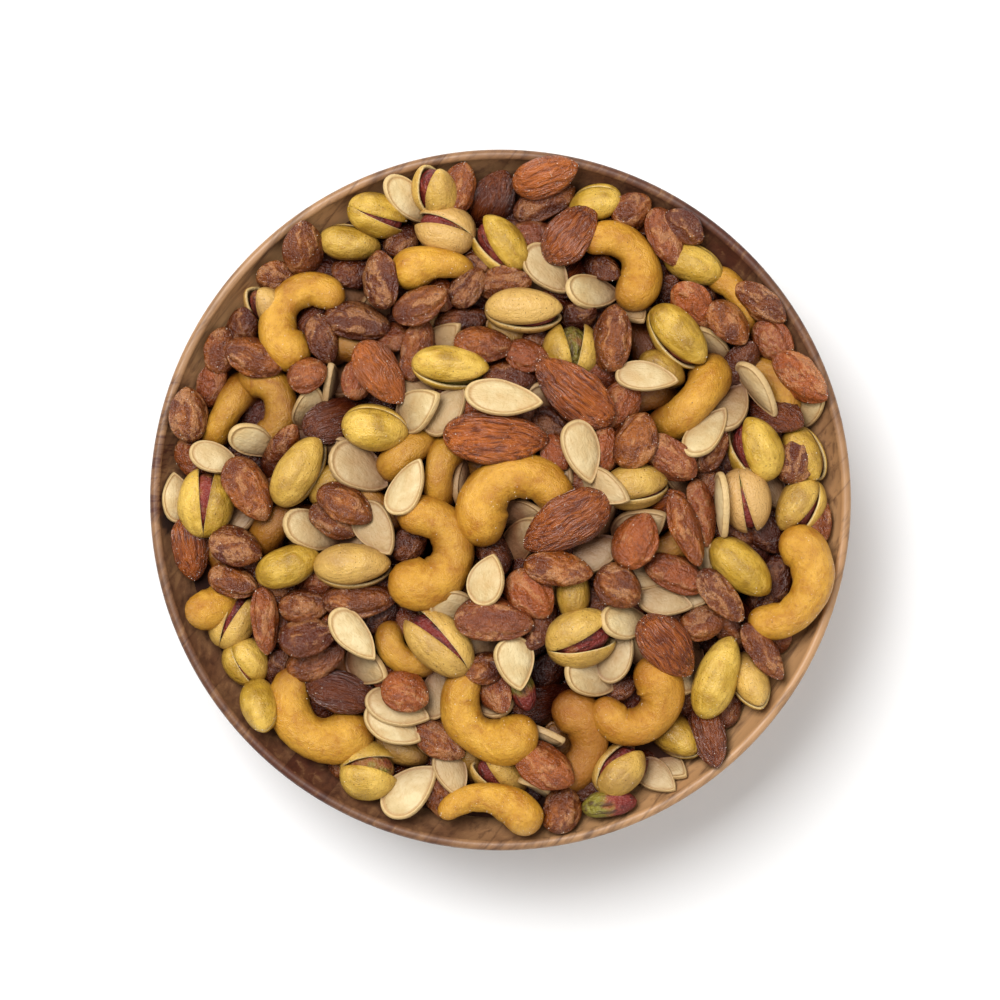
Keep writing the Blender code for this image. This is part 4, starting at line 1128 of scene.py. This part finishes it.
def kernel_material(settings):
    skin = Skin("salted_kernel_skin", 1.9, Scale=3.6, Stretch=0.35, Waver=0.6)
    base = colour_of(settings.kernel_colour)
    dark = times(base, 0.46, 0.30, 0.30)
    skin.start(skin["Broad"], (0.28, dark), (0.46, base), (0.66, times(base, 1.65, 1.9, 1.9)))
    # Painted shade: darker where the relief dips, in the grooves.
    skin.tint("Streaks", 0.46, 0.34, 0.65, dark)
    skin.tint("Small", 0.46, 0.32, 0.6, dark)
    skin.tint("Tone", 0.2, 1.0, 0.75, srgb(82, 30, 14))
    skin.tint("Tone", -0.2, -1.0, 0.75, srgb(174, 88, 36))
    skin.tint("Special", 0.6, 1.0, 0.45, srgb(168, 90, 52))
    skin.tint("Fine", 0.5, 0.36, 0.5, dark)
    patch = weighted(skin.tree, (skin["Streaks"], 1), (skin["Chance"], 0.10), (skin["Small"], 0.35))
    frost = maths(skin.tree, "MULTIPLY", band(skin.tree, patch, 0.76, 0.84), skin.band("Grain", 0.3, 0.6))
    skin.mix(maths(skin.tree, "MULTIPLY", frost, 0.62), srgb(206, 146, 92))
    skin.shader.inputs["Specular IOR Level"].default_value = 0.6
    relief = (("Streaks", 1.4), ("Small", 1), ("Grain", 0.4))
    return skin.finish(skin.band("Small", 0.3, 0.7, 0.16, 0.36), relief, 0.8, 0.0011)


def seed_material(settings):
    skin = Skin("pumpkin_seed_shell", 1.8, Scale=8.0, Stretch=0.25)
    base = colour_of(settings.seed_colour)
    tan = srgb(196, 158, 98)
    pale = times(base, 1.16, 1.24, 1.40)
    skin.start(skin["Broad"], (0.3, blend_of(base, tan, 0.55)), (0.48, base), (0.66, pale))
    skin.tint("Streaks", 0.52, 0.75, 0.35, tan)
    groove = maths(skin.tree, "MULTIPLY", skin.band("Zone", 0.78, 0.86), skin.band("Zone", 0.93, 0.88))
    skin.mix(maths(skin.tree, "MULTIPLY", groove, 0.75), srgb(172, 128, 72))
    skin.tint("Zone", 0.88, 0.95, 0.6, srgb(214, 178, 116))
    skin.tint("Tone", 0.0, 1.0, 0.8, srgb(176, 142, 100))
    skin.tint("Small", 0.62, 0.72, 0.25, srgb(150, 112, 62))
    skin.specks(9.0, 0.12, 0.14, 0.5, srgb(140, 100, 54))
    return skin.finish(skin.band("Small", 0.3, 0.7, 0.45, 0.62), (("Fine", 0.5), ("Small", 1)), 0.6, 0.0006)


def cloudy_material(name, scale, detail, first, second, roughness, specular=0.5):
    """Two tones in soft clouds."""
    material, tree, shader = new_material(name)
    cloud = noise(tree, add(tree, "ShaderNodeTexCoord").outputs["Object"], scale, detail)
    tree.links.new(ramp(tree, cloud, first, second), shader.inputs["Base Color"])
    shader.inputs["Roughness"].default_value = roughness
    shader.inputs["Specular IOR Level"].default_value = specular
    return material


def glued_blocks(tree, place, settings):
    """The place turned to the grain, its X, its row of blocks and a random value for each block."""
    turned = add(tree, "ShaderNodeVectorRotate", {"Vector": place, "Angle": math.radians(-GRAIN_ANGLE)},
                 rotation_type="Z_AXIS").outputs[0]
    x, y, _ = add(tree, "ShaderNodeSeparateXYZ", {"Vector": turned}).outputs
    rows = maths(tree, "DIVIDE", y, settings.block_width)
    row = maths(tree, "FLOOR", rows)
    along = weighted(tree, (x, 1), (lot(tree, row), BLOCK_STAGGER))
    column = maths(tree, "FLOOR", maths(tree, "DIVIDE", along, settings.block_length))
    pair = add(tree, "ShaderNodeCombineXYZ", {"X": column, "Y": row, "Z": 0.0}).outputs[0]
    block = add(tree, "ShaderNodeTexWhiteNoise", {"Vector": pair}, noise_dimensions="3D").outputs["Value"]
    return turned, x, rows, block


def left_board(tree, place):
    """What the board across the left wall takes from the shade: stepped tones and fine cross lines."""
    x, y, _ = add(tree, "ShaderNodeSeparateXYZ", {"Vector": place}).outputs
    mask = maths(tree, "MULTIPLY", band(tree, x, *BOARD_FADE_X), band(tree, y, *BOARD_FADE_LOWER))
    mask = maths(tree, "MULTIPLY", mask, band(tree, y, *BOARD_FADE_UPPER))
    step = maths(tree, "SUBTRACT", lot(tree, maths(tree, "FLOOR", maths(tree, "DIVIDE", y, BOARD_STEP))), 0.5)
    crosswise = vector_maths(tree, "MULTIPLY", place, (0.15, 1.0, 0.3))
    lines = band(tree, noise(tree, crosswise, 1100.0, 2.0), 0.5, 0.62, 0.0, 0.25)
    darker = maths(tree, "ADD", weighted(tree, (lines, 1), (step, -0.3)), 0.34)
    return maths(tree, "MULTIPLY", mask, darker)


def near_knot(tree, place, grain):
    """1 in the knot, with an edge that follows the grain."""
    scaled = vector_maths(tree, "DIVIDE", vector_maths(tree, "SUBTRACT", place, KNOT_PLACE), KNOT_SPREAD)
    distance = vector_maths(tree, "LENGTH", scaled, output="Value")
    ragged = maths(tree, "ADD", distance, band(tree, grain, 0.3, 0.7, -0.35, 0.35))
    return band(tree, ragged, 1.0, 0.6, 0.0, 0.9)


def wood_material(settings):
    """Boards glued side by side with their grain along one diagonal: dark where the grain ends at the
    wall, and light where it runs along it, with painted light making the lower right lighter."""
    material, tree, shader = new_material("laminated_wood")
    place = add(tree, "ShaderNodeTexCoord").outputs["Object"]
    turned, x, rows, block = glued_blocks(tree, place, settings)
    shifted = vector_maths(tree, "ADD", turned, maths(tree, "MULTIPLY", block, 9.0))
    drawn = vector_maths(tree, "MULTIPLY", shifted, (0.12, 1.0, 1.0))
    grain = noise(tree, drawn, 420.0, 4.0, 0.65, 0.4)
    broad = noise(tree, drawn, 110.0, 2.0, 0.5, 0.8)
    squared = maths(tree, "POWER", maths(tree, "DIVIDE", x, RIM_RADIUS), 2.0)
    # Painted light: the wood is lighter towards the lower right, the side that the key light falls on.
    to_lower_right = vector_maths(tree, "DOT_PRODUCT", place, (1.0, -1.2, 0.0), output="Value")
    shade = weighted(tree, (band(tree, squared, 1.0, 0.15, 0.0, 0.80), 1),
                     (band(tree, to_lower_right, -0.12, 0.12, -0.12, 0.12), 1), (block, 0.16),
                     (left_board(tree, place), -1), (band(tree, broad, 0.25, 0.75, -0.14, 0.14), 1))
    light = colour_of(settings.light_wood)
    dark = colour_of(settings.dark_wood)
    line = times(dark, 0.5, 0.5, 0.5)
    colour = ramp(tree, shade, (0.05, dark), (0.5, blend_of(light, dark, 0.55)), (0.95, light))
    colour = blend(tree, band(tree, grain, 0.5, 0.68, 0.0, 0.65), colour, line)
    colour = blend(tree, band(tree, grain, 0.45, 0.32, 0.0, 0.3), colour, light)
    from_middle = maths(tree, "ABSOLUTE", maths(tree, "SUBTRACT", maths(tree, "FRACT", rows), 0.5))
    colour = blend(tree, band(tree, from_middle, 0.475, 0.497, 0.0, 0.35), colour, line)
    colour = blend(tree, near_knot(tree, place, grain), colour, srgb(40, 28, 26))
    tree.links.new(colour, shader.inputs["Base Color"])
    tree.links.new(band(tree, grain, 0.3, 0.7, 0.36, 0.52), shader.inputs["Roughness"])
    bump(tree, shader, grain, 0.25, 0.0004)
    return material


# Pieces

def make_nuts(kind, name, template, form, look_of, material):
    """One piece of all the nuts of a kind. form shapes a nut, and look_of gives its tone and special."""
    heap = Heap()
    templates = [template(*sides) for sides in DETAIL[kind]]
    for index, row in enumerate(settled_nuts(kind)):
        chance = chance_for(kind, index)
        params, tris, quads = templates[row["deep"]]
        points, own, zone = form(params, row, chance)
        look = (chance.uniform(), *look_of(row, chance))
        heap.add(points, tris, quads, own, look, zone, row["rotation"], place_of(row))
    into_frame(heap.piece(name, material), "nut_mix")


def chance_for(kind, index):
    return np.random.default_rng(DRAW_SEEDS[kind] * SEED_STEP + index)


def make_cashews(settings):
    def form(template, row, chance):
        return cashew_points(template, row["shape"], chance, settings.lumpiness)

    def look_of(row, chance):
        return row.get("tone", chance.uniform(0, 0.5) ** 2), 0.0

    make_nuts("cashew", "cashews", ball, form, look_of, cashew_material(settings))


def make_oval_nuts(kind, name, slot, material, **changed):
    shape = {**OVAL_SHAPES[kind], **changed}

    def form(template, row, chance):
        return oval_points(template, row["halves"][0], chance, shape)

    def look_of(row, chance):
        return row.get("tone", chance.uniform(-1, 1)), chance.uniform() ** 2

    make_nuts(kind, name, ball, form, look_of, material)


def make_seeds(settings):
    def form(params, row, chance):
        return seed_points(params, row["halves"][0], chance, settings.seed_border)

    def look_of(row, chance):
        return chance.uniform(0, 0.75) ** 2, 0.0

    material = seed_material(settings)
    make_nuts("seed", "pumpkin_seeds", seed_template, form, look_of, material)


def make_pistachios(settings):
    """Two half shells with a kernel between them for each, or a kernel alone where a row has no look."""
    shells = Heap()
    kernels = Heap()
    shell_templates = [shell_template(*sides) for sides in DETAIL["pistachio"]]
    inner_templates = [ball(*sides) for sides in DETAIL["inner"]]
    for index, row in enumerate(settled_nuts("pistachio")):
        chance = chance_for("pistachio", index)
        half = row["halves"][0]
        loose = not row["look"]
        tip, roll, gape, tone, red = row["look"] or LOOSE_KERNEL_LOOK
        rotation = rolled(row["rotation"], roll)
        if tip < 0:
            rotation = rotation @ np.diag([-1.0, -1.0, 1.0])
        if not loose:
            params, tris, quads = shell_templates[row["deep"]]
            for way in (1, -1):
                points, own, zone = shell_points(params, half, chance, way, gape, settings.shell_thickness)
                look = (chance.uniform(), tone, red)
                shells.add(points, tris, quads, own, look, zone, rotation, place_of(row))
        template, tris, quads = inner_templates[row["deep"]]
        size = half * (1.0 if loose else np.array([0.84, 0.80, 0.80]))
        points, own, zone = oval_points(template, size, chance, OVAL_SHAPES["inner"])
        if not loose:
            points[:, 0] += 0.02 * half[0]
        kernels.add(points, tris, quads, own, (chance.uniform(), tone, red), zone, rotation, place_of(row))
    into_frame(shells.piece("pistachio_shells", shell_material(settings)), "nut_mix")
    kernels_piece = kernels.piece("pistachio_kernels", inner_kernel_material(settings))
    into_frame(kernels_piece, "nut_mix")


def upper_skin(name):
    """Places and normals on a piece's upper faces that show."""
    skin = bpy.data.objects[name].data
    points, normals = np.empty((2, len(skin.vertices) * 3), np.float32)
    skin.vertices.foreach_get("co", points)
    skin.vertices.foreach_get("normal", normals)
    points = points.reshape(-1, 3)
    normals = normals.reshape(-1, 3)
    high = mound_height(np.hypot(points[:, 0], points[:, 1])) - points[:, 2] < SALT_REACH
    shown = (normals[:, 2] > 0.35) & high
    return points[shown], normals[shown]


def make_salt(settings):
    """Small rough crystals on the upper faces of the nuts, most of them on the brown kernels."""
    chance = np.random.default_rng(SALT_SEED)
    heap = Heap()
    template, tris, quads = ball(4, 3)
    for name, share in SALT_SHARES:
        points, normals = upper_skin(name)
        for index in chance.choice(len(points), int(share * settings.salt_grains), replace=False):
            size = chance.uniform(*SALT_SIZES) * MM
            grain = template * size * chance.uniform(0.7, 1.3, 3)
            turn = np.array(Euler(chance.uniform(0, 6.3, 3)).to_matrix())
            place = points[index] + normals[index] * size * 0.4
            look = (chance.uniform(), 0, 0)
            heap.add(grain, tris, quads, grain, look, np.zeros(len(grain)), turn, place)
    material = cloudy_material("salt_grains", 900.0, 2.0, (0.3, srgb(226, 208, 184)),
                               (0.7, srgb(250, 244, 232)), 0.3)
    into_frame(heap.piece("salt_grains", material), "nut_mix")


def turned_mesh(name, profile, sides):
    """A closed solid turned on +Z from (radius, height) rows that start and end on the axis."""
    points = [(0.0, 0.0, profile[0][1])]
    for radius, height in profile[1:-1]:
        for side in range(sides):
            angle = 2 * math.pi * side / sides
            points.append((radius * math.cos(angle), radius * math.sin(angle), height))
    points.append((0.0, 0.0, profile[-1][1]))
    tris, quads = capped_rings(sides, len(profile) - 2, turned_over=True)
    mesh = bpy.data.meshes.new(name)
    mesh.from_pydata(points, [], tris.tolist() + quads.tolist())
    mesh.shade_smooth()
    return mesh


def bowl_profile():
    """The section from the middle of the inside floor, over the lip, to the middle of the foot."""
    half = LIP_WIDTH / 2
    lip = RIM_HEIGHT - half
    shares = [step / WALL_STEPS for step in range(WALL_STEPS + 1)]
    profile = [(0.0, FLOOR_HEIGHT)]
    for share in shares:
        profile.append((FLOOR_RADIUS + (RIM_RADIUS - LIP_WIDTH - FLOOR_RADIUS) * share,
                        FLOOR_HEIGHT + (lip - FLOOR_HEIGHT) * share**2))
    for step in range(1, LIP_STEPS):
        angle = math.pi * (1 - step / LIP_STEPS)
        profile.append((RIM_RADIUS - half + half * math.cos(angle), lip + half * math.sin(angle)))
    for share in reversed(shares):
        profile.append((FOOT_RADIUS + (RIM_RADIUS - FOOT_RADIUS) * share,
                        FOOT_CHAMFER + (lip - FOOT_CHAMFER) * share**2))
    profile += [(FOOT_RADIUS - 0.4 * FOOT_CHAMFER, 0.4 * FOOT_CHAMFER), (FOOT_RADIUS - FOOT_CHAMFER, 0.0)]
    return profile + [(0.0, 0.0)]


def make_bowl(settings):
    mesh = turned_mesh("wooden_bowl", bowl_profile(), BOWL_SIDES)
    mesh.set_sharp_from_angle(angle=math.radians(50))
    into_frame(new_piece("wooden_bowl", mesh, wood_material(settings)), "bowl")


def make_shade_core():
    """A dark core under all the nuts: painted shade deep in the heap."""
    radii = [CORE_RADIUS * ring / CORE_RINGS for ring in range(CORE_RINGS + 1)]
    profile = [(0.0, MOUND_MIDDLE - CORE_DEPTH)]
    for radius in radii[1:]:
        depth = CORE_DEPTH + (CORE_EDGE_DEPTH - CORE_DEPTH) * (radius / CORE_RADIUS) ** 4
        profile.append((radius, mound_height(radius) - depth))
    for radius in reversed(radii):
        profile.append((radius, float(inner_height(radius)) + 2 * GAP))
    mesh = turned_mesh("heap_core", profile, CORE_SIDES)
    material = cloudy_material("deep_shade", 160.0, 3.0, (0.35, srgb(30, 16, 12)),
                               (0.65, srgb(58, 32, 22)), 0.9, 0.1)
    into_frame(new_piece("heap_core", mesh, material), "nut_mix")


def make_floor(settings):
    mesh = bpy.data.meshes.new("floor")
    corners = [(-1, -1), (1, -1), (1, 1), (-1, 1)]
    mesh.from_pydata([(x * FLOOR_HALF, y * FLOOR_HALF, 0) for x, y in corners], [], [(0, 1, 2, 3)])
    material, _, shader = new_material("pale_floor")
    shader.inputs["Base Color"].default_value = (*colour_of(settings.floor_colour), 1.0)
    shader.inputs["Roughness"].default_value = 0.9
    floor = new_piece("floor", mesh, material)
    floor.location.z = -FLOOR_DROP


def make_stage(settings):
    """A plain pale floor, soft light from above and upper left, and the camera straight above."""
    make_floor(settings)
    for (name, size, place), power in zip(LIGHTS, (settings.key_power, settings.fill_power)):
        lamp = bpy.data.lights.new(name, "AREA")
        lamp.energy = power
        lamp.size = size
        thing = new_object(name, lamp)
        thing.location = place
        thing.rotation_euler = (-thing.location).to_track_quat("-Z", "Y").to_euler()
    scene = bpy.context.scene
    scene.world = bpy.data.worlds.new("soft_room")
    scene.world.use_nodes = True
    background = scene.world.node_tree.nodes["Background"]
    background.inputs["Color"].default_value = ROOM_COLOUR
    background.inputs["Strength"].default_value = settings.room_light
    scene.view_settings.view_transform = "Standard"
    camera = bpy.data.cameras.new("camera")
    camera.sensor_width = SENSOR_WIDTH
    camera.lens = settings.lens
    camera.clip_start = 0.01
    scene.camera = new_object("camera", camera)
    scene.camera.location = (-0.5 * PHOTO_SCALE, 0.0, RIM_HEIGHT + PHOTO_DISTANCE)


# Settings, operators and panel

def colour_setting(name, description, colour):
    return bpy.props.FloatVectorProperty(name=name, description=description, subtype="COLOR", size=3,
                                         min=0.0, max=1.0, default=srgb(*colour))


def length_setting(name, description, default):
    return bpy.props.FloatProperty(name=name, description=description, default=default, unit="LENGTH")


def power_setting(name, description, default):
    return bpy.props.FloatProperty(name=name, description=description, default=default, unit="POWER")


class TRAILMIX_PG_bowl(bpy.types.PropertyGroup):
    """Sizes and colours of the wooden bowl."""
    block_width: length_setting("Block width", "Width of the glued wood blocks", 13.0 * MM)
    block_length: length_setting("Block length", "Length of the glued wood blocks", 85.0 * MM)
    light_wood: colour_setting("Light wood", "Colour of the lightest blocks", (182, 138, 94))
    dark_wood: colour_setting("Dark wood", "Colour of the darkest blocks", (84, 46, 32))


class TRAILMIX_PG_nuts(bpy.types.PropertyGroup):
    """Sizes and colours of the nuts and seeds."""
    lumpiness: bpy.props.FloatProperty(name="Cashew lumpiness", description="How uneven the cashews are",
                                       default=0.045, min=0.0, max=0.2, subtype="FACTOR")
    shell_thickness: length_setting("Shell thickness", "Thickness of a pistachio shell", 0.85 * MM)
    seed_border: length_setting("Seed border", "Height of a pumpkin seed's border", 0.10 * MM)
    almond_ridges: length_setting("Almond ridges", "Height of an almond's ridges", 0.16 * MM)
    salt_grains: bpy.props.IntProperty(name="Salt grains", description="Number of salt grains on the nuts",
                                       default=1500, min=1, max=5000)
    cashew_colour: colour_setting("Cashew", "Colour of the cashews", (200, 143, 40))
    shell_colour: colour_setting("Pistachio shell", "Colour of the pistachio shells", (190, 149, 46))
    inner_kernel_colour: colour_setting("Pistachio kernel", "Colour of red pistachio kernels", (140, 56, 40))
    almond_colour: colour_setting("Almond", "Colour of the almonds", (146, 72, 20))
    kernel_colour: colour_setting("Brown kernel", "Colour of the small brown kernels", (126, 64, 18))
    seed_colour: colour_setting("Pumpkin seed", "Colour of the pumpkin seeds", (208, 182, 130))


class TRAILMIX_PG_stage(bpy.types.PropertyGroup):
    """Floor, light and camera."""
    floor_colour: colour_setting("Floor", "Colour of the floor", (246, 246, 246))
    key_power: power_setting("Key light", "Power of the main light", 20.5)
    fill_power: power_setting("Fill light", "Power of the fill light", 8.0)
    room_light: bpy.props.FloatProperty(name="Room light", default=0.25, min=0.0, max=3.0,
                                        description="Strength of the light from all around")
    lens: bpy.props.FloatProperty(name="Lens", description="Focal length in millimetres", default=114.9,
                                  min=10.0, max=500.0)


class TRAILMIX_OT_bowl(bpy.types.Operator):
    """Make the wooden bowl"""
    bl_idname = "trailmix.bowl"
    bl_label = "Wooden bowl"

    def execute(self, context):
        make_bowl(context.scene.trailmix_bowl)
        return {"FINISHED"}


class TRAILMIX_OT_core(bpy.types.Operator):
    """Make the dark core under the nuts, painted shade deep in the heap"""
    bl_idname = "trailmix.core"
    bl_label = "Heap core"

    def execute(self, context):
        make_shade_core()
        return {"FINISHED"}


class TRAILMIX_OT_cashews(bpy.types.Operator):
    """Make the cashews"""
    bl_idname = "trailmix.cashews"
    bl_label = "Cashews"

    def execute(self, context):
        make_cashews(context.scene.trailmix_nuts)
        return {"FINISHED"}


class TRAILMIX_OT_pistachios(bpy.types.Operator):
    """Make the pistachios, shells and kernels"""
    bl_idname = "trailmix.pistachios"
    bl_label = "Pistachios"

    def execute(self, context):
        make_pistachios(context.scene.trailmix_nuts)
        return {"FINISHED"}


class TRAILMIX_OT_almonds(bpy.types.Operator):
    """Make the almonds"""
    bl_idname = "trailmix.almonds"
    bl_label = "Almonds"

    def execute(self, context):
        settings = context.scene.trailmix_nuts
        make_oval_nuts("almond", "almonds", "almond", almond_material(settings),
                       ridge_depth=settings.almond_ridges)
        return {"FINISHED"}


class TRAILMIX_OT_kernels(bpy.types.Operator):
    """Make the small brown kernels"""
    bl_idname = "trailmix.kernels"
    bl_label = "Brown kernels"

    def execute(self, context):
        settings = context.scene.trailmix_nuts
        make_oval_nuts("kernel", "brown_kernels", "brown_kernel", kernel_material(settings))
        return {"FINISHED"}


class TRAILMIX_OT_seeds(bpy.types.Operator):
    """Make the pumpkin seeds"""
    bl_idname = "trailmix.seeds"
    bl_label = "Pumpkin seeds"

    def execute(self, context):
        make_seeds(context.scene.trailmix_nuts)
        return {"FINISHED"}


class TRAILMIX_OT_salt(bpy.types.Operator):
    """Scatter the salt grains on the nuts"""
    bl_idname = "trailmix.salt"
    bl_label = "Salt grains"

    def execute(self, context):
        make_salt(context.scene.trailmix_nuts)
        return {"FINISHED"}


class TRAILMIX_OT_stage(bpy.types.Operator):
    """Make the floor, the lights and the camera"""
    bl_idname = "trailmix.stage"
    bl_label = "Stage"

    def execute(self, context):
        make_stage(context.scene.trailmix_stage)
        return {"FINISHED"}


OPERATORS = (TRAILMIX_OT_stage, TRAILMIX_OT_bowl, TRAILMIX_OT_core, TRAILMIX_OT_cashews,
             TRAILMIX_OT_pistachios, TRAILMIX_OT_almonds, TRAILMIX_OT_kernels, TRAILMIX_OT_seeds,
             TRAILMIX_OT_salt)


class TRAILMIX_PT_panel(bpy.types.Panel):
    """Lists the settings and the pieces"""
    bl_idname = "TRAILMIX_PT_panel"
    bl_label = "Trail mix"
    bl_space_type = "VIEW_3D"
    bl_region_type = "UI"
    bl_category = "Trail mix"

    def draw(self, context):
        for group in (context.scene.trailmix_bowl, context.scene.trailmix_nuts, context.scene.trailmix_stage):
            box = self.layout.box()
            for key in group.__annotations__:
                box.prop(group, key)
        for operator in OPERATORS:
            self.layout.operator(operator.bl_idname)


GROUPS = (("trailmix_bowl", TRAILMIX_PG_bowl), ("trailmix_nuts", TRAILMIX_PG_nuts),
          ("trailmix_stage", TRAILMIX_PG_stage))


def register():
    for name, group in GROUPS:
        bpy.utils.register_class(group)
        setattr(bpy.types.Scene, name, bpy.props.PointerProperty(type=group))
    for operator in OPERATORS:
        bpy.utils.register_class(operator)
    bpy.utils.register_class(TRAILMIX_PT_panel)


def unregister():
    bpy.utils.unregister_class(TRAILMIX_PT_panel)
    for operator in reversed(OPERATORS):
        bpy.utils.unregister_class(operator)
    for name, group in reversed(GROUPS):
        delattr(bpy.types.Scene, name)
        bpy.utils.unregister_class(group)


def main():
    register()
    bpy.ops.trailmix.stage()
    bpy.ops.trailmix.bowl()
    bpy.ops.trailmix.core()
    bpy.ops.trailmix.cashews()
    bpy.ops.trailmix.pistachios()
    bpy.ops.trailmix.almonds()
    bpy.ops.trailmix.kernels()
    bpy.ops.trailmix.seeds()
    bpy.ops.trailmix.salt()


if __name__ == "__main__":
    main()
